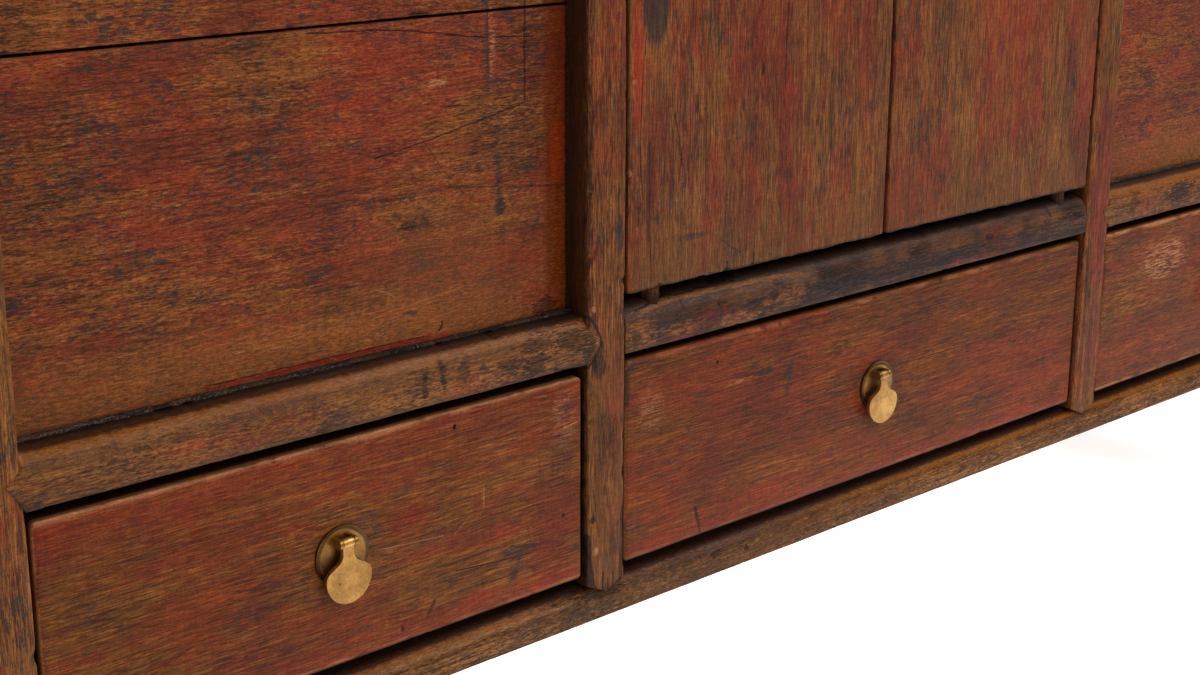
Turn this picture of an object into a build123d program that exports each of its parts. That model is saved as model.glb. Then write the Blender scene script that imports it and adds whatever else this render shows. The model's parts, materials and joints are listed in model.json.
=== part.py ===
"""Large three-bay wedding cabinet in elm: a pegged frame with fixed side panels,
two pivot-hung doors in the middle bay and three drawers in a row below them.

Millimetres. +Z is up, the front faces -Y and +X is the cabinet's right end as seen
from the front. The origin lies on the floor, midway between the ends and between
the front and back faces of the corner posts.
"""

from build123d import *
import os
from math import cos, radians, sin

# Frame
cabinet_depth = 540.0  # over the corner posts
leg_height = 160.0  # floor to the underside of the bottom rail
post_width = 50.0
post_depth = 50.0
stile_width = 36.0
frame_depth = 36.0  # depth of stiles and rails
side_bay_width = 410.0
door_bay_width = 560.0
bottom_rail_height = 28.5
drawer_opening_height = 163.5
mid_rail_height = 35.5
door_opening_height = 1190.0
top_rail_height = 60.0
rail_round = 8.0  # upper front edge of the front rails
rail_lower_round = 2.5
post_round = 2.0

# Joinery
tenon_thickness = 10.0
tenon_length = 15.0
tenon_shoulder = 6.0  # rail height left above and below a tenon
tenon_setback = 14.0  # front face to tenon
lap_reach = 11.0  # pointed shoulder that laps the front of a stile or post
lap_depth = 8.0
foot_reach = 8.0  # pointed foot of a stile over the bottom rail
peg_size = 5.0
peg_lead = 4.0  # peg beyond the front of a tenon

# Fixed panels
panel_thickness = 10.0
panel_recess = 20.0
panel_tongue = 6.0
panel_first_board = 207.0
panel_board_count = 5
board_gap = 1.2
end_panel_recess = 12.0
end_board_count = 3
back_board_count = 7
back_recess = 14.0

# Floor and shelf
floor_thickness = 12.0
floor_drop = 12.0  # floor below the top of the mid rails
floor_tongue = 4.0
floor_board_count = 3
bearer_width = 36.0
bearer_height = 16.0
shelf_height = 560.0  # above the top of the mid rails
shelf_thickness = 16.0
shelf_setback = 62.0  # front face to shelf
shelf_board_count = 2
shelf_rail_height = 40.0

# Top
top_thickness = 38.0
top_member_width = 74.0
top_overhang = 12.0
top_round = 10.0
top_board_thickness = 16.0
top_board_count = 3
top_tongue = 8.0
post_tenon = 22.0
post_tenon_length = 16.0

# Doors
door_thickness = 22.0
door_setback = 1.0
door_bottom_gap = 7.0
door_top_gap = 5.0
door_side_gap = 2.0
door_meeting_gap = 3.0
door_edge_board = 25.0
door_edge_round = 2.5
batten_height = 32.0
batten_thickness = 18.0
batten_housing = 6.0  # depth of the batten's housing in the boards
batten_inset = 42.0  # door edge to batten, on the pivot side
batten_outset = 14.0  # door edge to batten, on the meeting side
batten_margin = 110.0  # door end to the outer battens
batten_count = 3
pivot_diameter = 14.0
pivot_offset = 31.0  # door edge to pivot axis
pivot_in_door = 34.0
pivot_in_rail = 16.0
pivot_clearance = 0.1

# Drawers
drawer_setback = 3.0
drawer_front_thickness = 20.0
drawer_side_gap = 2.5
side_drawer_top_gap = 7.0
centre_drawer_top_gap = 5.5
drawer_bottom_gap = 6.5
drawer_front_round = 1.2
drawer_corner_round = 4.0
drawer_back_gap = 31.0  # drawer to the back rails
drawer_side_thickness = 11.0
drawer_side_lap = 11.0
drawer_side_drop = 9.0  # sides below the top of the front
drawer_bottom_thickness = 8.0
drawer_bottom_raise = 7.0
drawer_groove = 5.0
runner_height = 24.0
runner_support = 22.0  # runner under a drawer side
runner_clearance = 0.3
guide_height = 18.0
guide_clearance = 0.8

# Brass
plate_thickness = 1.4
door_plate_diameter = 216.0
door_plate_height = 610.0  # door bottom to the centre of the face plate
door_pull_offset = 46.0  # meeting line to the pull
door_pull_drop = 16.0  # plate centre up to the pull's pin
door_pull_length = 84.0
door_pull_width = 26.0
drawer_plate_diameter = 40.0
drawer_pull_length = 40.0
drawer_pull_rise = 10.0  # middle of a drawer's front up to the pull's pin
drawer_pull_width = 34.0
pull_thickness = 3.2
pull_pin_diameter = 3.0
pull_barrel_diameter = 6.4
pull_barrel_length = 8.0
pull_pin_standoff = 5.0  # plate face to pin axis
pull_clearance = 0.05
cheek_thickness = 2.4
cheek_gap = 0.35
plate_stud_diameter = 9.0
plate_stud_height = 2.6
stud_dome = 0.6  # rounding of a stud as a share of its height
stud_turn = 60.0  # degrees between neighbouring studs

# Places worked out from the sizes above
front = -cabinet_depth / 2
back = cabinet_depth / 2
frame_back = front + frame_depth
inner_back = back - frame_depth
door_half = door_bay_width / 2
stile_x = door_half + stile_width / 2
bay_inner = door_half + stile_width
bay_outer = bay_inner + side_bay_width
outer_x = bay_outer + post_width
end_rail_inner = outer_x - frame_depth
bottom_rail_top = leg_height + bottom_rail_height
mid_rail_base = bottom_rail_top + drawer_opening_height
mid_rail_top = mid_rail_base + mid_rail_height
top_rail_base = mid_rail_top + door_opening_height
post_top = top_rail_base + top_rail_height
shelf_base = mid_rail_top + shelf_height
door_base = mid_rail_top + door_bottom_gap
door_top = top_rail_base - door_top_gap
door_front = front + door_setback
door_back = door_front + door_thickness
pivot_y = (door_front + door_back) / 2
pivot_x = door_half - door_side_gap - pivot_offset
plate_z = door_base + door_plate_height
drawer_base = bottom_rail_top + drawer_bottom_gap
drawer_front_y = front + drawer_setback
drawer_front_back = drawer_front_y + drawer_front_thickness
drawer_end_y = inner_back - drawer_back_gap
runner_top = drawer_base - runner_clearance

SIDES = {"left": -1, "right": 1}


def block(x, y, z):
    """Box between three pairs of limits, given in either order."""
    spans = [abs(limits[1] - limits[0]) for limits in (x, y, z)]
    middle = [(limits[0] + limits[1]) / 2 for limits in (x, y, z)]
    return Pos(*middle) * Box(*spans)


def rounded(solid, axis, radius, *keep):
    """Fillet the edges along an axis whose centre passes every test in keep."""
    chosen = [e for e in solid.edges().filter_by(axis) if all(test(e.center()) for test in keep)]
    return fillet(chosen, radius)


def in_front(place):
    """Whether a place is in the front half of the front frame."""
    return place.Y < (front + frame_back) / 2


def front_prism(points, depth):
    """Prism from an outline in X and Z on the front face, running inwards."""
    outline = Wire.make_polygon([(x, front, z) for x, z in points])
    return extrude(Face(outline), amount=depth, dir=(0, 1, 0))


def cut(solid, *tools):
    """Subtract every tool from a solid."""
    for tool in tools:
        solid = solid - tool
    return solid


def planks(x, y, z, count, axis, gap=board_gap):
    """A row of equal boards that fills a box, side by side along an axis."""
    spans = [x, y, z]
    low, high = spans[axis]
    pitch = (high - low + gap) / count
    boards = []
    for i in range(count):
        spans[axis] = (low + i * pitch, low + (i + 1) * pitch - gap)
        boards.append(block(*spans))
    return boards


def x_tenon(face_x, side, base, height, y_low):
    """Tenon on the end of a rail that runs along X."""
    return block(
        (face_x, face_x + side * tenon_length),
        (y_low, y_low + tenon_thickness),
        (base + tenon_shoulder, base + height - tenon_shoulder),
    )


def y_tenon(face_y, way, base, height, x_low):
    """Tenon on the end of a rail that runs along Y."""
    return block(
        (x_low, x_low + tenon_thickness),
        (face_y, face_y + way * tenon_length),
        (base + tenon_shoulder, base + height - tenon_shoulder),
    )


def pointed_lap(face_x, side, base, height):
    """Pointed shoulder on the front of a rail's end."""
    points = [
        (face_x, base + rail_lower_round),
        (face_x + side * lap_reach, base + height / 2),
        (face_x, base + height - rail_round),
    ]
    return front_prism(points, lap_depth)


def front_rail(x_low, x_high, base, height, laps):
    """Front rail with a rounded nose, tenons, and pointed laps on the named ends."""
    rail = block((x_low, x_high), (front, frame_back), (base, base + height))
    middle = base + height / 2
    rail = rounded(rail, Axis.X, rail_round, in_front, lambda c: c.Z > middle)
    rail = rounded(rail, Axis.X, rail_lower_round, in_front, lambda c: c.Z < middle)
    for side, face_x in ((-1, x_low), (1, x_high)):
        rail += x_tenon(face_x, side, base, height, front + tenon_setback)
        if side in laps:
            rail += pointed_lap(face_x, side, base, height)
    return rail


def back_rail(base, height):
    """Plain rail between the back posts."""
    rail = block((-bay_outer, bay_outer), (inner_back, back), (base, base + height))
    for side in SIDES.values():
        rail += x_tenon(side * bay_outer, side, base, height, back - tenon_setback - tenon_thickness)
    return rail


def end_rail(side, base, height):
    """Rail between the front and back posts of one end."""
    y_low, y_high = front + post_depth, back - post_depth
    rail = block((side * end_rail_inner, side * outer_x), (y_low, y_high), (base, base + height))
    tenon_x = side * (outer_x - tenon_setback - tenon_thickness / 2) - tenon_thickness / 2
    rail += y_tenon(y_low, -1, base, height, tenon_x)
    rail += y_tenon(y_high, 1, base, height, tenon_x)
    return rail


def corner_post(side, way):
    """Corner post that runs to the floor, with a tenon up into the top."""
    x = (side * bay_outer, side * outer_x)
    y = (way * (cabinet_depth / 2 - post_depth), way * cabinet_depth / 2)
    post = rounded(block(x, y, (0, post_top)), Axis.Z, post_round)
    middle_x = side * (bay_outer + post_width / 2)
    middle_y = way * (cabinet_depth - post_depth) / 2
    tenon = Pos(middle_x, middle_y, post_top + post_tenon_length / 2)
    return post + tenon * Box(post_tenon, post_tenon, post_tenon_length)


def stile(side):
    """Intermediate stile between a side panel and a door, with a pointed foot."""
    x = (side * door_half, side * bay_inner)
    post = block(x, (front, frame_back), (bottom_rail_top, top_rail_base))
    post = rounded(post, Axis.Z, post_round, in_front)
    tenon_x = (side * stile_x - stile_width / 4, side * stile_x + stile_width / 4)
    tenon_y = (front + tenon_setback, front + tenon_setback + tenon_thickness)
    post += block(tenon_x, tenon_y, (bottom_rail_top - tenon_length, bottom_rail_top))
    post += block(tenon_x, tenon_y, (top_rail_base, top_rail_base + tenon_length))
    foot = [
        (x[0], bottom_rail_top),
        (side * stile_x, bottom_rail_top - foot_reach),
        (x[1], bottom_rail_top),
    ]
    return post + front_prism(foot, lap_depth)


def front_panel_space(side):
    """Space that a fixed front panel fills, with its tongues in the grooves."""
    return (
        (side * (bay_inner - panel_tongue), side * (bay_outer + panel_tongue)),
        (front + panel_recess, front + panel_recess + panel_thickness),
        (mid_rail_top - panel_tongue, top_rail_base + panel_tongue),
    )


def front_panel(side):
    """Fixed panel of horizontal boards."""
    x, y, z = front_panel_space(side)
    seam = mid_rail_top + panel_first_board
    boards = [block(x, y, (z[0], seam))]
    return boards + planks(x, y, (seam + board_gap, z[1]), panel_board_count - 1, 2)


def end_panel_spaces(side):
    """Spaces of the upper and lower panels of one end."""
    face = outer_x - end_panel_recess
    x = (side * (face - panel_thickness), side * face)
    y = (front + post_depth - panel_tongue, back - post_depth + panel_tongue)
    upper = (x, y, (mid_rail_top - panel_tongue, top_rail_base + panel_tongue))
    lower = (x, y, (bottom_rail_top - panel_tongue, mid_rail_base + panel_tongue))
    return upper, lower


def end_panel(side):
    """Upright boards above the mid rail and one board beside the drawers."""
    upper, lower = end_panel_spaces(side)
    return planks(*upper, end_board_count, 1) + [block(*lower)]


def back_spaces():
    """Spaces of the upper and lower rows of back boards."""
    x = (-bay_outer - panel_tongue, bay_outer + panel_tongue)
    y = (back - back_recess - panel_thickness, back - back_recess)
    upper = (x, y, (mid_rail_top - panel_tongue, top_rail_base + panel_tongue))
    lower = (x, y, (bottom_rail_top - panel_tongue, mid_rail_base + panel_tongue))
    return upper, lower


def back_boards():
    """Upright boards that close the back above and below the mid rail."""
    upper, lower = back_spaces()
    return planks(*upper, back_board_count, 0) + planks(*lower, back_board_count, 0)


def floor_space():
    """Space of the compartment floor, with its tongues in the rails."""
    top = mid_rail_top - floor_drop
    return (
        (-end_rail_inner - floor_tongue, end_rail_inner + floor_tongue),
        (frame_back - floor_tongue, inner_back + floor_tongue),
        (top - floor_thickness, top),
    )


def floor_bearer(side):
    """Bearer under the floor, from the stile to the back."""
    x = (side * stile_x - bearer_width / 2, side * stile_x + bearer_width / 2)
    top = mid_rail_top - floor_drop - floor_thickness
    bearer = block(x, (frame_back, inner_back), (top - bearer_height, top))
    tenon_x = (side * stile_x - bearer_width / 4, side * stile_x + bearer_width / 4)
    tenon_z = (top - bearer_height * 3 / 4, top - bearer_height / 4)
    reach = tenon_length / 2
    return bearer + block(tenon_x, (frame_back - reach, inner_back + reach), tenon_z)


def shelf_rail():
    """Rail across the back at shelf height, inside the back boards."""
    y_high = back - back_recess - panel_thickness
    y_low = y_high - tenon_thickness * 2
    rail = block((-bay_outer, bay_outer), (y_low, y_high), (shelf_base - shelf_rail_height, shelf_base))
    tenon_z = (shelf_base - shelf_rail_height + tenon_shoulder, shelf_base - tenon_shoulder)
    tenon_y = (y_low + tenon_thickness / 2, y_low + tenon_thickness * 3 / 2)
    return rail + block((-bay_outer - tenon_length, bay_outer + tenon_length), tenon_y, tenon_z)


def shelf_bearers():
    """Bearers that run from the stiles and front posts to the back."""
    z = (shelf_base - shelf_rail_height + tenon_shoulder, shelf_base)
    tenon_z = (z[0] + tenon_shoulder, z[1] - tenon_shoulder)
    rail_front = back - back_recess - panel_thickness - tenon_thickness * 2
    bearers = []
    for side in SIDES.values():
        inner = (side * stile_x - bearer_width / 2, side * stile_x + bearer_width / 2)
        inner_tenon = (side * stile_x - bearer_width / 4, side * stile_x + bearer_width / 4)
        bearer = block(inner, (frame_back, rail_front), z)
        bearers.append(bearer + block(inner_tenon, (frame_back - tenon_length / 2, frame_back), tenon_z))
        outer = (side * bay_outer, side * (bay_outer + bearer_width / 3))
        end_y = (front + post_depth, back - post_depth)
        bearer = block(outer, end_y, z)
        reach = tenon_length / 2
        bearers.append(bearer + block(outer, (end_y[0] - reach, end_y[1] + reach), tenon_z))
    return bearers


def shelf_boards():
    """Long boards laid on the shelf bearers."""
    x = (-bay_outer, bay_outer)
    y = (front + shelf_setback, back - post_depth)
    return planks(x, y, (shelf_base, shelf_base + shelf_thickness), shelf_board_count, 1)


def top_outline():
    """Slab of the whole top with rounded outer edges, open in the middle."""
    half_x = outer_x + top_overhang
    half_y = cabinet_depth / 2 + top_overhang
    slab = block((-half_x, half_x), (-half_y, half_y), (post_top, post_top + top_thickness))
    slab = fillet(slab.edges().filter_by(Axis.Z), top_round)
    upper = slab.faces().sort_by(Axis.Z)[-1].edges()
    slab = fillet(upper, top_round)
    hole_x = half_x - top_member_width
    hole_y = half_y - top_member_width
    return slab - block((-hole_x, hole_x), (-hole_y, hole_y), (post_top, post_top + top_thickness))


def top_mitre(turn):
    """Wedge that keeps the members of one side: turn 0 is the front, then round."""
    half_x = outer_x + top_overhang
    half_y = cabinet_depth / 2 + top_overhang
    hole_x = half_x - top_member_width
    hole_y = half_y - top_member_width
    outer = [(-half_x, -half_y), (half_x, -half_y), (half_x, half_y), (-half_x, half_y)]
    inner = [(-hole_x, -hole_y), (hole_x, -hole_y), (hole_x, hole_y), (-hole_x, hole_y)]
    after = (turn + 1) % 4
    corners = [outer[turn], outer[after], inner[after], inner[turn]]
    outline = Wire.make_polygon([(x, y, post_top) for x, y in corners])
    return extrude(Face(outline), amount=top_thickness, dir=(0, 0, 1))


def top_board_space():
    """Space of the boards inside the top frame, with their tongues."""
    half_x = outer_x + top_overhang - top_member_width + top_tongue
    half_y = cabinet_depth / 2 + top_overhang - top_member_width + top_tongue
    top = post_top + top_thickness - tenon_shoulder
    return (-half_x, half_x), (-half_y, half_y), (top - top_board_thickness, top)


def runner(x):
    """Runner under the drawer sides, tenoned into the bottom rails."""
    piece = block(x, (frame_back, inner_back), (runner_top - runner_height, runner_top))
    middle = (x[0] + x[1]) / 2
    tenon_x = (middle - tenon_thickness, middle + tenon_thickness)
    tenon_z = (leg_height + tenon_shoulder * 2, bottom_rail_top - tenon_shoulder)
    tenon_y = (frame_back - tenon_length / 2, inner_back + tenon_length / 2)
    return piece + block(tenon_x, tenon_y, tenon_z)


def runners():
    """The outer runners widen between the posts, the inner ones serve two drawers."""
    z = (runner_top - runner_height, runner_top)
    pieces = []
    for side in SIDES.values():
        outer = runner((side * bay_outer, side * (bay_outer - runner_support)))
        widening = (side * bay_outer, side * end_rail_inner)
        outer += block(widening, (front + post_depth, back - post_depth), z)
        inner = runner((side * (bay_inner + runner_support), side * (door_half - runner_support)))
        pieces += [outer, inner]
    return pieces


def guides():
    """Strips on the runners that keep the drawers straight."""
    reach = drawer_side_gap - guide_clearance
    z = (runner_top, runner_top + guide_height)
    pieces = []
    for side in SIDES.values():
        inner = (side * (door_half - reach), side * (bay_inner + reach))
        outer = (side * (bay_outer - reach), side * end_rail_inner)
        pieces.append(block(inner, (frame_back, inner_back), z))
        pieces.append(block(outer, (front + post_depth, back - post_depth), z))
    return pieces


def joint_pegs():
    """Square pegs that lock the tenons of the mid and bottom rails, from behind."""
    y = (front + tenon_setback - peg_lead, front + post_depth)
    half = peg_size / 2
    pegs = []
    for side in SIDES.values():
        x = side * (bay_outer + tenon_length / 2)
        for base, height in ((leg_height, bottom_rail_height), (mid_rail_base, mid_rail_height)):
            z = base + height / 2
            pegs.append(block((x - half, x + half), y, (z - half, z + half)))
    return pegs


def door_span(side):
    """X limits of a door, from its pivot edge to its meeting edge."""
    return side * (door_half - door_side_gap), side * door_meeting_gap / 2


def batten_levels():
    """Heights of the battens' centres on a door."""
    low = door_base + batten_margin
    high = door_top - batten_margin
    step = (high - low) / (batten_count - 1)
    return [low + i * step for i in range(batten_count)]


def door_battens(side):
    """Battens housed in the back of a door."""
    edge, meeting = door_span(side)
    x = (edge - side * batten_inset, meeting + side * batten_outset)
    y = (door_back - batten_housing, door_back - batten_housing + batten_thickness)
    return [block(x, y, (z - batten_height / 2, z + batten_height / 2)) for z in batten_levels()]


def door_pivots(side):
    """Wooden pivots in the lower and upper ends of a door."""
    radius = pivot_diameter / 2
    low = (mid_rail_top - pivot_in_rail, door_base + pivot_in_door)
    high = (door_top - pivot_in_door, top_rail_base + pivot_in_rail)
    pins = []
    for z_low, z_high in (low, high):
        place = Pos(side * pivot_x, pivot_y, (z_low + z_high) / 2)
        pins.append(place * Cylinder(radius, z_high - z_low))
    return pins


def pivot_sockets(side):
    """Round sockets for the pivots in the rails."""
    radius = pivot_diameter / 2 + pivot_clearance
    depth = pivot_in_rail + pivot_clearance
    low = Pos(side * pivot_x, pivot_y, mid_rail_top - depth / 2) * Cylinder(radius, depth)
    high = Pos(side * pivot_x, pivot_y, top_rail_base + depth / 2) * Cylinder(radius, depth)
    return low, high


def door_boards(side):
    """Narrow pivot board and wide board of a door, housed for battens and pivots."""
    edge, meeting = door_span(side)
    seam = edge - side * door_edge_board
    y, z = (door_front, door_back), (door_base, door_top)
    narrow = block((edge, seam), y, z)
    narrow = rounded(narrow, Axis.Z, door_edge_round, lambda c: abs(c.X - edge) < 1)
    wide = block((seam, meeting), y, z)
    wide = rounded(wide, Axis.Z, door_edge_round / 2, lambda c: abs(c.X - meeting) < 1)
    tools = door_battens(side) + door_pivots(side)
    return [cut(narrow, *tools), cut(wide, *tools)]


def barrel_cheeks(x, face_y, z):
    """Two cheeks and the pin that a pull swings on, standing on a plate."""
    pin_y = face_y - pull_pin_standoff
    inner = pull_barrel_length / 2 + cheek_gap
    cheek_radius = pull_barrel_diameter / 2
    pieces = Pos(x, pin_y, z) * Rot(0, 90, 0) * Cylinder(pull_pin_diameter / 2, inner * 2)
    for side in SIDES.values():
        x_cheek = x + side * (inner + cheek_thickness / 2)
        cheek = Pos(x_cheek, pin_y, z) * Rot(0, 90, 0) * Cylinder(cheek_radius, cheek_thickness)
        foot_x = (x_cheek - cheek_thickness / 2, x_cheek + cheek_thickness / 2)
        cheek += block(foot_x, (pin_y, face_y), (z - cheek_radius, z + cheek_radius))
        pieces += cheek
    return pieces


def pull(x, face_y, z, length, width):
    """Teardrop drop pull with a barrel round its pin."""
    pin_y = face_y - pull_pin_standoff
    half = width / 2
    waist = pull_barrel_length / 2
    neck = -pull_barrel_diameter
    blade = Plane(origin=(x, pin_y, z), x_dir=(1, 0, 0), z_dir=(0, -1, 0))
    stem = Polyline((-waist, neck), (-waist, 0), (waist, 0), (waist, neck)).edges()
    right = Spline((waist, neck), (half, half - length), tangents=((0, -1), (0, -1)))
    bottom = ThreePointArc((half, half - length), (0, -length), (-half, half - length))
    left = Spline((-half, half - length), (-waist, neck), tangents=((0, 1), (0, 1)))
    shape = make_face(stem + [right, bottom, left])
    leaf = blade * extrude(shape, amount=pull_thickness / 2, both=True)
    barrel = Pos(x, pin_y, z) * Rot(0, 90, 0) * Cylinder(pull_barrel_diameter / 2, pull_barrel_length)
    bore = Pos(x, pin_y, z) * Rot(0, 90, 0)
    bore = bore * Cylinder(pull_pin_diameter / 2 + pull_clearance, pull_barrel_length)
    return leaf + barrel - bore


def stud(x, face_y, z):
    """Domed stud that holds a plate."""
    radius = plate_stud_diameter / 2
    dome = Pos(x, face_y - plate_stud_height / 2, z) * Rot(90, 0, 0)
    dome = dome * Cylinder(radius, plate_stud_height)
    outer = dome.edges().sort_by(Axis.Y)[0]
    return fillet(outer, plate_stud_height * stud_dome)


def door_plate(side):
    """Half of the round face plate with its studs."""
    face_y = door_front - plate_thickness
    middle_y = door_front - plate_thickness / 2
    disc = Pos(0, middle_y, plate_z) * Rot(90, 0, 0)
    disc = disc * Cylinder(door_plate_diameter / 2, plate_thickness)
    reach = door_plate_diameter
    half_x = (side * door_meeting_gap / 2, side * reach)
    plate = disc & block(half_x, (face_y, door_front), (plate_z - reach, plate_z + reach))
    ring = door_plate_diameter / 2 - plate_stud_diameter
    for turn in (-stud_turn, 0, stud_turn):
        angle = radians(turn)
        plate += stud(side * ring * cos(angle), face_y, plate_z + ring * sin(angle))
    return plate + barrel_cheeks(side * door_pull_offset, face_y, plate_z + door_pull_drop)


def door_pull(side):
    """Drop pull of a door."""
    face_y = door_front - plate_thickness
    place = (side * door_pull_offset, face_y, plate_z + door_pull_drop)
    return pull(*place, door_pull_length, door_pull_width)


def drawer_spans():
    """X limits and top gap of each drawer's opening."""
    return {
        "left": (-bay_outer, -bay_inner, side_drawer_top_gap),
        "centre": (-door_half, door_half, centre_drawer_top_gap),
        "right": (bay_inner, bay_outer, side_drawer_top_gap),
    }


def drawer_sides(x_low, x_high, top):
    """Two sides and the back of a drawer."""
    z = (drawer_base, top - drawer_side_drop)
    y_low = drawer_front_back - drawer_side_lap
    y_high = drawer_end_y
    left = block((x_low, x_low + drawer_side_thickness), (y_low, y_high), z)
    right = block((x_high - drawer_side_thickness, x_high), (y_low, y_high), z)
    back_y = (y_high - drawer_side_thickness, y_high)
    inner = (x_low + drawer_side_thickness, x_high - drawer_side_thickness)
    return [left, right, block(inner, back_y, z)]


def drawer_bottom(x_low, x_high):
    """Bottom board of a drawer, held in grooves."""
    inset = drawer_side_thickness - drawer_groove
    base = drawer_base + drawer_bottom_raise
    y_low = drawer_front_back - drawer_groove
    y_high = drawer_end_y - inset
    z = (base, base + drawer_bottom_thickness)
    return block((x_low + inset, x_high - inset), (y_low, y_high), z)


def drawer_front(x_low, x_high, top):
    """Thick front board with softened edges."""
    board = block((x_low, x_high), (drawer_front_y, drawer_front_back), (drawer_base, top))
    board = fillet(board.edges().filter_by(Axis.Y), drawer_corner_round)
    face = board.faces().sort_by(Axis.Y)[0]
    return fillet(face.edges(), drawer_front_round)


def drawer(name):
    """Every piece of one drawer by its node name."""
    x_low, x_high, top_gap = drawer_spans()[name]
    x_low, x_high = x_low + drawer_side_gap, x_high - drawer_side_gap
    top = mid_rail_base - top_gap
    bottom = drawer_bottom(x_low, x_high)
    sides = drawer_sides(x_low, x_high, top)
    board = cut(drawer_front(x_low, x_high, top), bottom, *sides)
    x = (x_low + x_high) / 2
    z = (drawer_base + top) / 2
    disc = Pos(x, drawer_front_y - plate_thickness / 2, z) * Rot(90, 0, 0)
    disc = disc * Cylinder(drawer_plate_diameter / 2, plate_thickness)
    face_y = drawer_front_y - plate_thickness
    pin_z = z + drawer_pull_rise
    return {
        f"drawer_{name}_front": [board],
        f"drawer_{name}_box": [cut(piece, bottom) for piece in sides],
        f"drawer_{name}_bottom": [bottom],
        f"drawer_{name}_plate": [disc + barrel_cheeks(x, face_y, pin_z)],
        f"drawer_{name}_pull": [pull(x, face_y, pin_z, drawer_pull_length, drawer_pull_width)],
    }


def door(side_name):
    """Every piece of one door by its node name."""
    side = SIDES[side_name]
    return {
        f"door_{side_name}_boards": door_boards(side),
        f"door_{side_name}_battens": door_battens(side),
        f"door_{side_name}_pivots": door_pivots(side),
        f"door_{side_name}_plate": [door_plate(side)],
        f"door_{side_name}_pull": [door_pull(side)],
    }


def front_frame():
    """Rails, stiles and front panels, each cut where the others enter it."""
    pegs = joint_pegs()
    run = runners()
    floor = block(*floor_space())
    panels = [block(*front_panel_space(side)) for side in SIDES.values()]
    stiles = {name: stile(side) for name, side in SIDES.items()}
    sockets = [pivot_sockets(side) for side in SIDES.values()]
    both = (-1, 1)
    mids = {
        "mid_rail_left": front_rail(-bay_outer, -bay_inner, mid_rail_base, mid_rail_height, both),
        "mid_rail_centre": front_rail(-door_half, door_half, mid_rail_base, mid_rail_height, ()),
        "mid_rail_right": front_rail(bay_inner, bay_outer, mid_rail_base, mid_rail_height, both),
    }
    low = front_rail(-bay_outer, bay_outer, leg_height, bottom_rail_height, ())
    high = block((-bay_outer, bay_outer), (front, frame_back), (top_rail_base, post_top))
    lower_sockets, upper_sockets = zip(*sockets)
    for side in SIDES.values():
        tenon_y = front + tenon_setback
        high += x_tenon(side * bay_outer, side, top_rail_base, top_rail_height, tenon_y)
    tools = [*panels, floor, *pegs, *lower_sockets]
    pieces = {name: [cut(rail, *tools)] for name, rail in mids.items()}
    pieces["bottom_rail_front"] = [cut(low, *stiles.values(), *run, *pegs)]
    pieces["top_rail_front"] = [cut(high, *stiles.values(), *panels, *upper_sockets)]
    males = [*mids.values(), *panels, floor, floor_bearer(-1), floor_bearer(1), *shelf_bearers()]
    for name, post in stiles.items():
        pieces[f"stile_{name}"] = [cut(post, *males)]
    for name, side in SIDES.items():
        pieces[f"front_panel_{name}"] = front_panel(side)
    pieces["joint_pegs"] = pegs
    return pieces, [low, high, *mids.values(), *panels, *pegs]


def back_frame():
    """Back rails and boards."""
    floor = block(*floor_space())
    bearers = [floor_bearer(side) for side in SIDES.values()]
    spaces = [block(*space) for space in back_spaces()]
    low = back_rail(leg_height, bottom_rail_height)
    mid = back_rail(mid_rail_base, mid_rail_height)
    high = back_rail(top_rail_base, top_rail_height)
    shelf = shelf_rail()
    pieces = {
        "back_rail_bottom": [cut(low, *runners(), *spaces)],
        "back_rail_mid": [cut(mid, floor, *bearers, *spaces)],
        "back_rail_top": [cut(high, *spaces)],
        "back_rail_shelf": [shelf],
        "back_boards": back_boards(),
    }
    return pieces, [low, mid, high, shelf, *spaces]


def end_frames():
    """Rails and boards of both ends."""
    floor = block(*floor_space())
    levels = (
        (leg_height, bottom_rail_height),
        (mid_rail_base, mid_rail_height),
        (top_rail_base, top_rail_height),
    )
    pieces = {}
    males = []
    for name, side in SIDES.items():
        rails = [end_rail(side, base, height) for base, height in levels]
        spaces = [block(*space) for space in end_panel_spaces(side)]
        pieces[f"end_rails_{name}"] = [cut(rail, floor, *spaces) for rail in rails]
        pieces[f"end_panel_{name}"] = end_panel(side)
        males += [*rails, *spaces]
    return pieces, males


def top():
    """Mitred top frame and its boards."""
    boards = block(*top_board_space())
    posts = [corner_post(side, way) for side in SIDES.values() for way in (-1, 1)]
    ring = cut(top_outline(), boards, *posts)
    members = [ring & top_mitre(turn) for turn in range(4)]
    return {
        "top_frame_front": [members[0]],
        "top_frame_back": [members[2]],
        "top_frame_ends": [members[1], members[3]],
        "top_boards": planks(*top_board_space(), top_board_count, 1),
    }


def cabinet():
    """Every node of the cabinet with its list of separate solids."""
    nodes, males = front_frame()
    more, more_males = back_frame()
    nodes.update(more)
    males += more_males
    more, more_males = end_frames()
    nodes.update(more)
    males += more_males
    bearers = shelf_bearers()
    for side_name, side in SIDES.items():
        for way_name, way in (("front", -1), ("back", 1)):
            post = cut(corner_post(side, way), *males, *bearers)
            nodes[f"corner_post_{way_name}_{side_name}"] = [post]
    posts = [corner_post(side, way) for side in SIDES.values() for way in (-1, 1)]
    floor = planks(*floor_space(), floor_board_count, 1, gap=board_gap / 2)
    nodes["floor_boards"] = [cut(board, *posts) for board in floor]
    nodes["floor_bearers"] = [floor_bearer(side) for side in SIDES.values()]
    nodes["shelf_boards"] = shelf_boards()
    nodes["shelf_bearers"] = bearers
    nodes["drawer_runners"] = runners()
    nodes["drawer_guides"] = guides()
    nodes.update(top())
    for name in SIDES:
        nodes.update(door(name))
    for name in drawer_spans():
        nodes.update(drawer(name))
    return nodes


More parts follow.
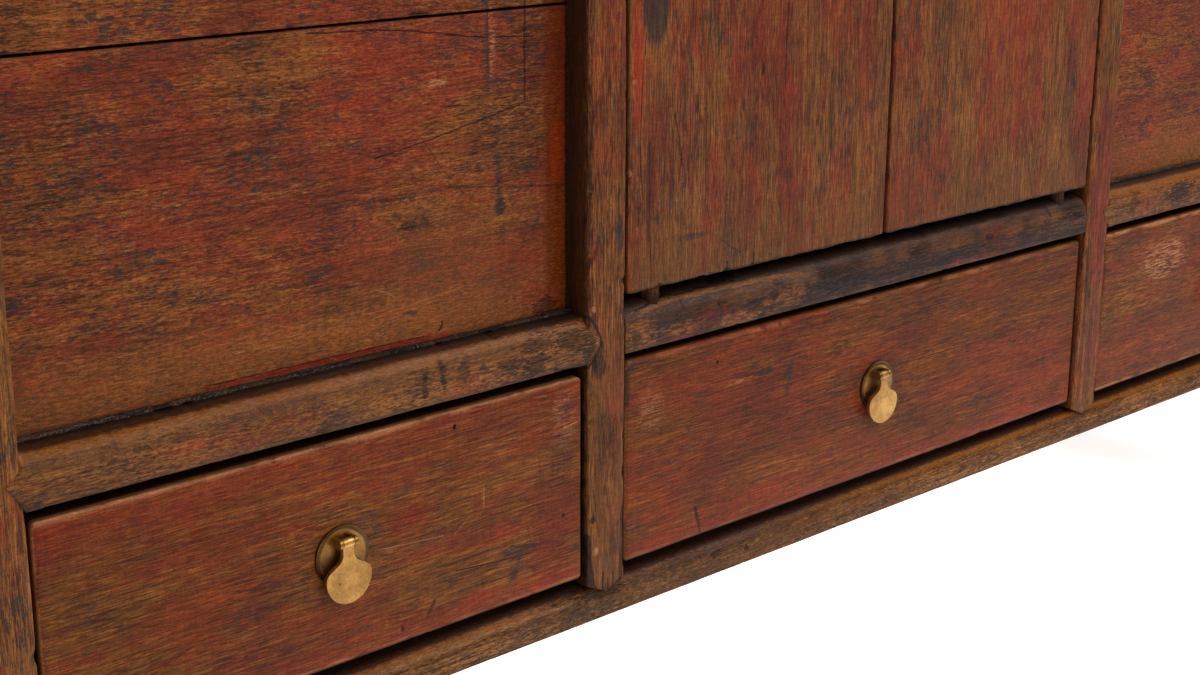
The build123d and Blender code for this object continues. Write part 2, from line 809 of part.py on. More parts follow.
def write(nodes):
    """Write one STEP file per node."""
    os.makedirs("parts", exist_ok=True)
    for name, solids in nodes.items():
        shape = solids[0] if len(solids) == 1 else Compound(children=solids)
        shape.label = name
        export_step(shape, f"parts/{name}.step")
    print(len(nodes), "nodes")


write(cabinet())
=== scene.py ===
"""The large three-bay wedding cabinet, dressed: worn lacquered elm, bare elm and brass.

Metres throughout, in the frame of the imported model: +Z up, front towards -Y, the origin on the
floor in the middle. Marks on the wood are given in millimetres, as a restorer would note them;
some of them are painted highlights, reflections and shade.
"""

import json
import logging
import math
from dataclasses import dataclass, replace
from enum import Enum

import bpy
import numpy as np
from mathutils import Matrix, Vector


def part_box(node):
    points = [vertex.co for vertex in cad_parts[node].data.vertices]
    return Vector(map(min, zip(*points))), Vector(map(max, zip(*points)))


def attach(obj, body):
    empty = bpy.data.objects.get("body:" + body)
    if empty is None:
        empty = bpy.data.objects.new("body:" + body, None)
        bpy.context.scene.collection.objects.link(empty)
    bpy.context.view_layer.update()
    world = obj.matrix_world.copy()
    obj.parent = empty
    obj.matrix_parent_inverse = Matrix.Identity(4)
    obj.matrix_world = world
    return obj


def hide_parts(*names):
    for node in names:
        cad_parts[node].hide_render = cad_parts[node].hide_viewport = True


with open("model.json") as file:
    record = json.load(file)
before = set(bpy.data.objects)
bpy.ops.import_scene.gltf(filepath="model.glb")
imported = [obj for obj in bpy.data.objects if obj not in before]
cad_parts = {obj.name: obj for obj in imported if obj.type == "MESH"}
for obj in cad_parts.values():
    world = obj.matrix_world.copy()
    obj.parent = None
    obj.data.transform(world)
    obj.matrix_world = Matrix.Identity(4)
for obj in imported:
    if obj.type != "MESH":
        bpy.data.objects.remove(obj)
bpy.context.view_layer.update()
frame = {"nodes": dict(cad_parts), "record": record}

MM = 0.001
LOG = logging.getLogger("cabinet")
BODY_OF = {node: body for body, nodes in frame["record"]["behaviour"]["bodies"].items() for node in nodes}

SHARP_ANGLE = math.radians(48)
SOFT_ARRIS = 0.9 * MM
SOFT_ANGLE = math.radians(40)
WELD_GAP = 0.01 * MM

DISPLAY_KNEE = 0.04045
DISPLAY_SLOPE = 12.92
DISPLAY_LIFT = 0.055
DISPLAY_POWER = 2.4

Colour = tuple[float, float, float, float]
Socket = bpy.types.NodeSocket
Material = bpy.types.Material


class Axis(Enum):
    """Direction of the grain."""

    X = 0
    Y = 1
    Z = 2

    def across(self) -> tuple[int, int]:
        """The two directions across the grain, in ascending order."""
        first, second = (i for i in range(3) if i != self.value)
        return first, second


def shade(red: float, green: float, blue: float) -> Colour:
    """Turn a display colour into the linear colour that the shaders take.

    Args:
        red: Display red, 0 to 255.
        green: Display green, 0 to 255.
        blue: Display blue, 0 to 255.

    Returns:
        Linear red, green and blue with an alpha of 1.
    """
    linear = []
    for value in (red, green, blue):
        share = value / 255
        curved = ((share + DISPLAY_LIFT) / (1 + DISPLAY_LIFT)) ** DISPLAY_POWER
        linear.append(share / DISPLAY_SLOPE if share <= DISPLAY_KNEE else curved)
    return linear[0], linear[1], linear[2], 1.0


class SmoothNoise:
    """Seeded smooth noise for the shapes, from -1 to 1."""

    cells = 64

    def __init__(self, seed: int) -> None:
        """Fill the lattice of random values."""
        self.table = np.random.default_rng(seed).uniform(-1, 1, (self.cells,) * 3)

    def at(self, points: np.ndarray, scale: float) -> np.ndarray:
        """Value at each point.

        Args:
            points: Places as an array whose last axis holds X, Y and Z.
            scale: Size of one swell, in the unit of the points.

        Returns:
            One value for each point.
        """
        place = points / scale
        base = np.floor(place).astype(int)
        share = place - base
        share = share * share * (3 - 2 * share)
        total = np.zeros(points.shape[:-1])
        for corner in np.ndindex(2, 2, 2):
            index = [(base[..., i] + corner[i]) % self.cells for i in range(3)]
            weight = np.ones_like(total)
            for i in range(3):
                weight = weight * (share[..., i] if corner[i] else 1 - share[..., i])
            total += weight * self.table[index[0], index[1], index[2]]
        return total


NOISE = SmoothNoise(1873)


@dataclass(frozen=True)
class Ripple:
    """One use of the noise: the size of its swells, and a shift that sets it apart from the others."""

    size: float
    apart: float = 0.0

    def over(self, points: np.ndarray) -> np.ndarray:
        """Value at each point, from -1 to 1."""
        return NOISE.at(points + self.apart, self.size)


@dataclass(frozen=True)
class Wear:
    """How far age has worn a length of wood, in metres, and the share of its arrises that is whole."""

    arris: float = 0.7 * MM
    chip: float = 1.4 * MM
    wave: float = 0.35 * MM
    chip_share: float = 0.42


@dataclass(frozen=True)
class Nick:
    """Bite out of the low end of a board: place across the board, half width and depth, in millimetres."""

    place: float
    half: float
    depth: float


def steps(length: float, pitch: float, first: tuple[float, ...]) -> np.ndarray:
    """Places along a straight stretch, closer together near its ends.

    Args:
        length: Length of the stretch.
        pitch: Largest distance between two places.
        first: Distances from each end that get a place of their own.

    Returns:
        Places from 0 to the length, both included.
    """
    near = [d for d in first if d < length / 2]
    start = near[-1] if near else 0.0
    count = max(2, int(math.ceil((length - 2 * start) / pitch)) + 1)
    middle = np.linspace(start, length - start, count)
    places = np.concatenate([[0.0], near, middle, [length - d for d in near], [length]])
    return np.unique(np.round(places, 7))


def falloff(distance: np.ndarray, scale: float) -> np.ndarray:
    """Bell curve: 1 at no distance, and nearly 0 at twice the scale."""
    return np.exp(-((distance / scale) ** 2))


@dataclass
class Timber:
    """One worn length of wood, swept along its grain."""

    low: Vector
    high: Vector
    grain: Axis
    rounds: tuple[float, float, float, float] = (1.2 * MM,) * 4
    end_rounds: tuple[float, float] = (0.8 * MM, 0.8 * MM)
    pitch: float = 5.0 * MM
    wear: Wear = Wear()
    nicks: tuple[Nick, ...] = ()
    ragged: float = 0.0
    tips: tuple[float, float] = (0.0, 0.0)
    tip_depth: float = 8.0 * MM
    board: float = 0.0

    arc_steps = 4
    near_arris = (1.5 * MM, 4.0 * MM, 9.0 * MM)
    tip_places = (0.25, 0.5, 0.75, 0.98, 1.02)
    tip_closed = 0.97
    arris_reach = 2.6 * MM
    chip_reach = 3.4 * MM
    bare_reach = 2.2 * MM
    bite_reach = 14 * MM
    bite_slant = 0.3
    worn_patches = Ripple(26 * MM)
    chips = Ripple(7 * MM, 1.7)
    long_waves = Ripple(70 * MM)
    short_waves = Ripple(16 * MM, 0.9)
    rubs = Ripple(14 * MM, 2.3)
    broad_bites = Ripple(9 * MM)
    small_bites = Ripple(3 * MM, 0.7)

    def outline(self) -> tuple[np.ndarray, np.ndarray, np.ndarray]:
        """Closed outline of the section.

        Returns:
            Points across the grain, outward normals and distances to the nearest arris.
        """
        first, second = self.grain.across()
        u = (self.low[first], self.high[first])
        v = (self.low[second], self.high[second])
        corners = [(u[0], v[0]), (u[1], v[0]), (u[1], v[1]), (u[0], v[1])]
        ways = [(1, 0), (0, 1), (-1, 0), (0, -1)]
        points, normals, edge = [], [], []
        for i in range(4):
            radius = self.rounds[i]
            inwards = (ways[i][0] - ways[i - 1][0], ways[i][1] - ways[i - 1][1])
            centre = (corners[i][0] + radius * inwards[0], corners[i][1] + radius * inwards[1])
            start = math.pi + i * math.pi / 2
            for step in range(self.arc_steps + 1):
                angle = start + step / self.arc_steps * math.pi / 2
                normal = (math.cos(angle), math.sin(angle))
                points.append((centre[0] + radius * normal[0], centre[1] + radius * normal[1]))
                normals.append(normal)
                edge.append(0.0)
            after = (i + 1) % 4
            side = math.dist(corners[i], corners[after]) - radius - self.rounds[after]
            outward = (ways[i][1], -ways[i][0])
            begin = points[-1]
            for place in steps(side, self.pitch, self.near_arris)[1:-1]:
                points.append((begin[0] + ways[i][0] * place, begin[1] + ways[i][1] * place))
                normals.append(outward)
                edge.append(min(place, side - place))
        return np.array(points), np.array(normals), np.array(edge)

    def stations(self) -> np.ndarray:
        """Places along the grain where the section is set.

        Returns:
            Places from 0 to the length, in order.
        """
        length = self.high[self.grain.value] - self.low[self.grain.value]
        largest = max(self.end_rounds)
        angles = np.linspace(0, math.pi / 2, self.arc_steps + 1)[1:]
        first = [largest * (1 - math.cos(a)) for a in angles]
        first += [largest + d for d in self.near_arris]
        for tip in filter(None, self.tips):
            first += [tip * share for share in self.tip_places]
        return steps(length, self.pitch, tuple(sorted(first)))

    def swept(self) -> tuple[np.ndarray, np.ndarray, np.ndarray]:
        """Sweep the section along the grain, with rounded ends and pointed laps.

        Returns:
            Points and normals as stations by outline by three, and the distances to the nearest arris.
        """
        section, normal, edge = self.outline()
        along = self.stations()
        length = along[-1]
        axis = self.grain.value
        count = (len(along), len(section))
        points = np.zeros((*count, 3))
        normals = np.zeros((*count, 3))
        points[..., axis] = self.low[axis] + along[:, None]
        end = np.minimum(along, length - along)
        for k, direction in enumerate(self.grain.across()):
            middle = (self.low[direction] + self.high[direction]) / 2
            half = (self.high[direction] - self.low[direction]) / 2
            radius = self.end_rounds[k]
            short = np.clip(radius - end, 0, radius)
            inset = radius - np.sqrt(np.maximum(radius * radius - short * short, 0))
            scale = 1 - inset / half
            points[..., direction] = middle + (section[:, k] - middle)[None, :] * scale[:, None]
            normals[..., direction] = normal[:, k][None, :]
        reach = np.minimum(edge[None, :], end[:, None])
        for place, tip in zip((along, length - along), self.tips):
            if tip:
                reach = np.where(place[:, None] < tip * 2, edge[None, :] + tip, reach)
                self.point_end(points, np.clip(1 - place / tip, 0, self.tip_closed))
        return points, normals, reach

    def wide(self) -> int:
        """Direction across the grain that lies in the front."""
        return next(i for i in self.grain.across() if i != Axis.Y.value)

    def point_end(self, points: np.ndarray, closing: np.ndarray) -> None:
        """Draw the stations of a pointed lap together across the front and keep them shallow.

        Args:
            points: Points to change in place.
            closing: For each station, 0 for the full section and 1 for the apex.
        """
        wide = self.wide()
        middle = (self.low[wide] + self.high[wide]) / 2
        open_share = (1 - closing)[:, None]
        points[..., wide] = middle + (points[..., wide] - middle) * open_share
        depth = np.minimum(points[..., Axis.Y.value], self.low.y + self.tip_depth)
        points[..., Axis.Y.value] = np.where(closing[:, None] > 0, depth, points[..., Axis.Y.value])

    def surface(self) -> tuple[np.ndarray, np.ndarray, np.ndarray]:
        """Worn surface.

        Returns:
            Points, bareness of the arrises and depth of the chips, the last two from 0 to 1.
        """
        points, normals, reach = self.swept()
        shifted = points + self.board
        chips = np.clip((self.chips.over(shifted) - self.wear.chip_share) * 3, 0, 1)
        chips = chips * falloff(reach, self.chip_reach)
        patches = np.clip(self.worn_patches.over(shifted) + 0.3, 0, 1)
        waves = 0.6 * self.long_waves.over(shifted) + 0.4 * self.short_waves.over(shifted)
        sunk = self.wear.arris * falloff(reach, self.arris_reach) * (0.35 + 0.65 * patches)
        sunk += self.wear.chip * chips
        sunk += self.wear.wave * (waves + 1) / 2
        worn = points - normals * sunk[..., None]
        if self.ragged or self.nicks:
            worn[..., self.grain.value] += self.bitten(points, worn)
        bare = falloff(reach, self.bare_reach) * (0.6 + 0.4 * self.rubs.over(shifted))
        return worn, bare, chips

    def bitten(self, points: np.ndarray, worn: np.ndarray) -> np.ndarray:
        """How far the low end of a board has broken away.

        Args:
            points: The sound surface.
            worn: The worn surface.

        Returns:
            Shift along the grain for each point.
        """
        flat = points.copy()
        flat[..., self.grain.value] = 0
        flat[..., Axis.Y.value] *= self.bite_slant
        loss = self.ragged * (0.5 + 0.5 * self.broad_bites.over(flat) + 0.35 * self.small_bites.over(flat))
        across = worn[..., self.wide()] / MM
        for nick in self.nicks:
            loss += nick.depth * MM * falloff(across - nick.place, nick.half)
        height = points[..., self.grain.value] - self.low[self.grain.value]
        return loss * np.clip(1 - height / self.bite_reach, 0, 1)


def placed(name: str, data: bpy.types.ID) -> bpy.types.Object:
    """Put a new object in the scene.

    Args:
        name: Name of the object.
        data: Its mesh, light or camera.

    Returns:
        The object.
    """
    made = bpy.data.objects.new(name, data)
    bpy.context.scene.collection.objects.link(made)
    return made


def build_mesh(name: str, timbers: list[Timber]) -> bpy.types.Object:
    """Join worn lengths of wood into one object.

    Args:
        name: Name of the new object.
        timbers: The lengths of wood, each a separate closed surface.

    Returns:
        The object, linked to the scene.
    """
    corners, faces, bare, chips, boards = [], [], [], [], []
    total = 0
    for timber in timbers:
        points, edge_bare, chipped = timber.surface()
        rows, columns = points.shape[:2]
        index = np.arange(rows * columns).reshape(rows, columns) + total
        here, there = index[:-1], index[1:]
        ring = np.stack([here, np.roll(here, -1, 1), np.roll(there, -1, 1), there], -1).reshape(-1, 4)
        if timber.grain is Axis.Y:
            ring = ring[:, ::-1]
        faces += ring.tolist()
        ends = [index[0][::-1].tolist(), index[-1].tolist()]
        faces += [end[::-1] for end in ends] if timber.grain is Axis.Y else ends
        corners.append(points.reshape(-1, 3))
        bare.append(edge_bare.ravel())
        chips.append(chipped.ravel())
        boards.append(np.full(rows * columns, timber.board))
        total += rows * columns
    mesh = bpy.data.meshes.new(name)
    mesh.from_pydata(np.concatenate(corners).tolist(), [], faces)
    for title, values in (("arris", bare), ("chip", chips), ("board", boards)):
        layer = mesh.attributes.new(title, "FLOAT", "POINT")
        layer.data.foreach_set("value", np.concatenate(values).astype(np.float32))
    mesh.shade_smooth()
    mesh.set_sharp_from_angle(angle=SHARP_ANGLE)
    return placed(name, mesh)


def solid_boxes(node: str) -> list[tuple[Vector, Vector]]:
    """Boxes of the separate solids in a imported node.

    Args:
        node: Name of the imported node.

    Returns:
        Lowest and highest corner of each solid, ordered by Z, then Y, then X.
    """
    mesh = frame["nodes"][node].data
    places = np.array([v.co for v in mesh.vertices])
    _, merged = np.unique(np.round(places, 6), axis=0, return_inverse=True)
    merged = merged.ravel()
    label = np.arange(merged.max() + 1)
    edges = np.array([merged[list(e.vertices)] for e in mesh.edges])
    while True:
        lowest = np.minimum(label[edges[:, 0]], label[edges[:, 1]])
        after = label.copy()
        np.minimum.at(after, edges[:, 0], lowest)
        np.minimum.at(after, edges[:, 1], lowest)
        if (after == label).all():
            break
        label = after
    boxes = []
    for group in np.unique(label):
        chosen = places[label[merged] == group]
        boxes.append((Vector(chosen.min(0)), Vector(chosen.max(0))))
    return sorted(boxes, key=lambda b: (round(b[0].z, 4), round(b[0].y, 4), b[0].x))


class Graph:
    """Grows one shader tree."""

    def __init__(self, tree: bpy.types.NodeTree) -> None:
        """Take an empty tree."""
        self.tree = tree

    def feed(self, socket: Socket, value: object) -> None:
        """Link a socket, or set its constant.

        Args:
            socket: Input to feed.
            value: Output to link to it, or its constant.
        """
        if isinstance(value, Socket):
            self.tree.links.new(value, socket)
        else:
            socket.default_value = value

    def node(self, kind: str, inputs: dict[str | int, object] | None = None,
             **settings: object) -> bpy.types.Node:
        """Add a node.

        Args:
            kind: Type of the node.
            inputs: What feeds its inputs, by name or number.
            **settings: Its properties by name.

        Returns:
            The node.
        """
        made = self.tree.nodes.new(kind)
        for name, value in settings.items():
            setattr(made, name, value)
        for key, value in (inputs or {}).items():
            self.feed(made.inputs[key], value)
        return made

    def math(self, operation: str, *values: object) -> Socket:
        """Arithmetic on numbers."""
        return self.node("ShaderNodeMath", dict(enumerate(values)), operation=operation).outputs[0]

    def times(self, first: object, second: object) -> Socket:
        """Product of two numbers."""
        return self.math("MULTIPLY", first, second)

    def line(self, value: object, slope: object, start: object) -> Socket:
        """Number times a slope, plus a start."""
        return self.math("MULTIPLY_ADD", value, slope, start)

    def limited(self, value: Socket) -> Socket:
        """Number kept from 0 to 1, by plain arithmetic, which lets one finish hold more marks."""
        return self.math("MINIMUM", self.math("MAXIMUM", value, 0.0), 1.0)

    def swing(self, value: Socket) -> Socket:
        """Noise from 0 to 1 as a swing about 0."""
        return self.math("SUBTRACT", value, 0.5)

    def vector(self, operation: str, *values: object) -> Socket:
        """Arithmetic on vectors. DOT_PRODUCT and LENGTH give a number."""
        made = self.node("ShaderNodeVectorMath", dict(enumerate(values)), operation=operation)
        return made.outputs[1 if operation in ("DOT_PRODUCT", "LENGTH") else 0]

    def scaled(self, vector: Socket, factor: object) -> Socket:
        """Vector times a number."""
        inputs = {0: vector, "Scale": factor}
        return self.node("ShaderNodeVectorMath", inputs, operation="SCALE").outputs[0]

    def noise(self, point: Socket, detail: float = 2.0, rough: float = 0.5, output: str = "Fac") -> Socket:
        """Noise of unit size.

        Args:
            point: Where to take it.
            detail: Number of finer layers.
            rough: Strength of each finer layer.
            output: "Fac" for one number or "Color" for three.

        Returns:
            The noise, from 0 to 1.
        """
        inputs = {"Vector": point, "Scale": 1.0, "Detail": detail, "Roughness": rough}
        return self.node("ShaderNodeTexNoise", inputs).outputs[output]

    def drift(self, noise: Socket, reach: float) -> Socket:
        """Coloured noise as a wandering shift about 0, with its reach in millimetres."""
        return self.scaled(self.vector("SUBTRACT", noise, (0.5, 0.5, 0.5)), reach)

    def remap(self, value: object, low: float, high: float, to_low: float = 0.0,
              to_high: float = 1.0) -> Socket:
        """Smooth step of a value between two levels.

        Args:
            value: Number to map.
            low: Level where the step starts.
            high: Level where it ends.
            to_low: Result at its start.
            to_high: Result at its end.

        Returns:
            The mapped number.
        """
        inputs = {"Value": value, "From Min": low, "From Max": high, "To Min": to_low, "To Max": to_high}
        return self.node("ShaderNodeMapRange", inputs, interpolation_type="SMOOTHSTEP").outputs[0]

    def mix(self, share: object, first: object, second: object) -> Socket:
        """Blend of two colours."""
        inputs = {"Factor": share, 6: first, 7: second}
        return self.node("ShaderNodeMix", inputs, data_type="RGBA").outputs[2]

    def blend(self, share: object, first: object, second: object) -> Socket:
        """Blend of two numbers."""
        inputs = {"Factor": share, 2: first, 3: second}
        return self.node("ShaderNodeMix", inputs, data_type="FLOAT").outputs[0]

    def attribute(self, name: str) -> Socket:
        """Number stored on the mesh."""
        return self.node("ShaderNodeAttribute", attribute_name=name).outputs["Fac"]

    def millimetres(self) -> Socket:
        """Place on the piece in millimetres, in the frame of the cabinet at rest."""
        return self.scaled(self.node("ShaderNodeTexCoord").outputs["Object"], 1 / MM)

    def surface(self, colour: Socket, rough: Socket, height: Socket, constants: dict[str, float]) -> None:
        """Close the tree with a shader and its relief.

        Args:
            colour: Colour of the surface.
            rough: Its roughness.
            height: Its relief, in millimetres.
            constants: Other inputs of the shader by name.
        """
        bump = self.node("ShaderNodeBump", {"Distance": MM, "Height": height})
        inputs = {"Base Color": colour, "Roughness": rough, "Normal": bump.outputs[0], **constants}
        shader = self.node("ShaderNodeBsdfPrincipled", inputs)
        if "Coat Weight" in constants:
            self.feed(shader.inputs["Coat Normal"], bump.outputs[0])
        self.node("ShaderNodeOutputMaterial", {"Surface": shader.outputs[0]})


def blank_material(name: str) -> tuple[Material, Graph]:
    """Start a material.

    Args:
        name: Name of the material.

    Returns:
        The material and its empty graph.
    """
    made = bpy.data.materials.new(name)
    made.use_nodes = True
    made.node_tree.nodes.clear()
    return made, Graph(made.node_tree)


@dataclass(frozen=True)
class Paint:
    """What a mark leaves: its colour, its height in millimetres and its roughness."""

    colour: Colour
    height: float
    rough: float


class Tint(Enum):
    """Kinds of mark on old lacquer, and colours for painted highlight, reflection and shade."""

    CRACK = Paint(shade(20, 14, 12), -0.5, 0.7)
    SLATE = Paint(shade(48, 41, 38), -0.05, 0.5)
    BLACK = Paint(shade(26, 20, 18), -0.1, 0.55)
    RED = Paint(shade(146, 42, 28), 0.05, 0.35)
    CRIMSON = Paint(shade(118, 28, 20), 0.05, 0.35)
    AMBER = Paint(shade(92, 35, 5), 0.0, 0.22)
    EMBER = Paint(shade(124, 41, 8), 0.0, 0.22)
    HONEY = Paint(shade(146, 86, 38), 0.0, 0.4)
    PALE = Paint(shade(158, 116, 88), -0.15, 0.7)
    UMBER = Paint(shade(42, 20, 10), 0.0, 0.4)
    OLIVE = Paint(shade(98, 62, 32), 0.0, 0.5)
    GOLD = Paint(shade(138, 78, 18), 0.0, 0.25)
    TOBACCO = Paint(shade(64, 34, 14), 0.0, 0.35)
    TAN = Paint(shade(184, 128, 88), 0.0, 0.5)
    # Lavender grey for painted highlights on the rail noses.
    MAUVE_HIGHLIGHT = Paint(shade(128, 98, 88), 0.0, 0.45)
    BARE = Paint(shade(132, 94, 62), 0.0, 0.6)


def mark_group(name: str, vectors: tuple[str, ...],
               numbers: tuple[str, ...]) -> tuple[Graph, dict[str, Socket]]:
    """Start a node group that gives one number.

    Args:
        name: Name of the group.
        vectors: Names of its vector inputs.
        numbers: Names of its number inputs.

    Returns:
        The graph of the group and its inputs by name.
    """
    tree = bpy.data.node_groups.new(name, "ShaderNodeTree")
    for title in vectors:
        tree.interface.new_socket(title, in_out="INPUT", socket_type="NodeSocketVector")
    for title in numbers:
        tree.interface.new_socket(title, in_out="INPUT", socket_type="NodeSocketFloat")
    tree.interface.new_socket("Mask", in_out="OUTPUT", socket_type="NodeSocketFloat")
    graph = Graph(tree)
    inlet = graph.node("NodeGroupInput")
    return graph, {title: inlet.outputs[title] for title in vectors + numbers}


def stroke_group() -> bpy.types.NodeTree:
    """Make the group for closeness to a straight line.

    Returns:
        Its tree, which gives 1 on the line, 0.5 at its half width and less beyond it.
    """
    graph, inlet = mark_group("line mark", ("Point", "From", "To"), ("Half",))
    offset = graph.vector("SUBTRACT", inlet["Point"], inlet["From"])
    course = graph.vector("SUBTRACT", inlet["To"], inlet["From"])
    share = graph.limited(graph.math("DIVIDE", graph.vector("DOT_PRODUCT", offset, course),
                                     graph.vector("DOT_PRODUCT", course, course)))
    gap = graph.vector("LENGTH", graph.vector("SUBTRACT", offset, graph.scaled(course, share)))
    halves = graph.math("DIVIDE", gap, inlet["Half"])
    graph.node("NodeGroupOutput", {0: graph.line(halves, -0.5, 1.0)})
    return graph.tree


def patch_group() -> bpy.types.NodeTree:
    """Make the group for closeness to a spot.

    Returns:
        Its tree, which gives 1 at the centre, 0.5 at the rim and less beyond it.
    """
    graph, inlet = mark_group("spot mark", ("Point", "Centre", "Radii"), ())
    offset = graph.vector("DIVIDE", graph.vector("SUBTRACT", inlet["Point"], inlet["Centre"]), inlet["Radii"])
    graph.node("NodeGroupOutput", {0: graph.line(graph.vector("LENGTH", offset), -0.5, 1.0)})
    return graph.tree


LINE_MARK = stroke_group()
SPOT_MARK = patch_group()


@dataclass(frozen=True)
class Stroke:
    """Crack, scratch, drip or painted highlight along a line on the front, with points as X and Z in
    millimetres.
    """

    tint: Tint
    width: float
    points: tuple[tuple[float, float], ...]
    strength: float = 1.0
    soft: float = 0.25
    ragged: float = 0.5
    speckle: float = 0.2

    def closeness(self, graph: Graph, face: Socket) -> Socket:
        """Closeness to the line.

        Args:
            graph: Tree that grows.
            face: Place on the front, in millimetres.

        Returns:
            1 on the line, 0.5 at its half width, less beyond it.
        """
        found = None
        for begin, end in zip(self.points, self.points[1:]):
            inputs = {"Point": face, "From": (begin[0], 0, begin[1]), "To": (end[0], 0, end[1]),
                      "Half": self.width / 2}
            step = graph.node("ShaderNodeGroup", inputs, node_tree=LINE_MARK).outputs[0]
            found = step if found is None else graph.math("MAXIMUM", found, step)
        return found


@dataclass(frozen=True)
class Patch:
    """Stain, chip, remnant or painted highlight about a place on the front, with X and Z in millimetres."""

    tint: Tint
    centre: tuple[float, float]
    radii: tuple[float, float]
    strength: float = 1.0
    soft: float = 0.1
    ragged: float = 1.6
    speckle: float = 0.4

    def closeness(self, graph: Graph, face: Socket) -> Socket:
        """Closeness to the spot.

        Args:
            graph: Tree that grows.
            face: Place on the front, in millimetres.

        Returns:
            1 at its centre, 0.5 at its rim, less beyond it.
        """
        inputs = {"Point": face, "Centre": (self.centre[0], 0, self.centre[1]),
                  "Radii": (self.radii[0], 1, self.radii[1])}
        return graph.node("ShaderNodeGroup", inputs, node_tree=SPOT_MARK).outputs[0]


@dataclass(frozen=True)
class Fade:
    """Change of tone along one direction, from one place to another in millimetres."""

    tint: Tint
    axis: Axis
    begin: float
    end: float
    strength: float = 1.0
    soft: float = 0.5
    ragged: float = 0.6
    speckle: float = 0.0

    def closeness(self, graph: Graph, place: Socket) -> Socket:
        """Share of the way from the beginning to the end.

        Args:
            graph: Tree that grows.
            place: Place on the piece, in millimetres.

        Returns:
            The share, from 0 to 1.
        """
        along = graph.node("ShaderNodeSeparateXYZ", {0: place}).outputs[self.axis.value]
        run = self.end - self.begin
        return graph.limited(graph.line(along, 1 / run, -self.begin / run))


Mark = Stroke | Patch | Fade


@dataclass(frozen=True)
class Swell:
    """Noise of the wood: sizes across and along the grain in millimetres, detail and roughness.

    The finish's own run is added to the size along the grain, times the run share.
    """

    across: float
    along: float
    run_share: float = 0.0
    detail: float = 4.0
    rough: float = 0.6


class Figure(Enum):
    """Noises that draw the wood, its lacquer, its wear and painted glints."""

    FIBRE = Swell(1.3, 0, 1.0, rough=0.7)
    FINE_FIBRE = Swell(0.8, 0, 0.28, detail=2)
    STREAK = Swell(3.2, 6, 0.4, detail=5, rough=0.75)
    CLOUD = Swell(36, 80)
    BAND = Swell(5, 240, rough=0.65)
    WANDER = Swell(60, 220, detail=2, rough=0.5)
    LACQUER = Swell(34, 120, detail=5)
    SOOT = Swell(22, 46)
    RUBBING_AND_GLINT = Swell(1.4, 0, 0.5, detail=3, rough=0.65)
    DASH = Swell(1.1, 2, 0.25, detail=3, rough=0.65)
    DASH_PATCH = Swell(20, 40, detail=3)
    HAIRLINE = Swell(38, 95, detail=2, rough=0.45)
    WIPING = Swell(18, 2.6, rough=0.7)
    HUE = Swell(2.4, 8, rough=0.75)
    FLECK = Swell(1.1, 4, 0.2, detail=3, rough=0.65)


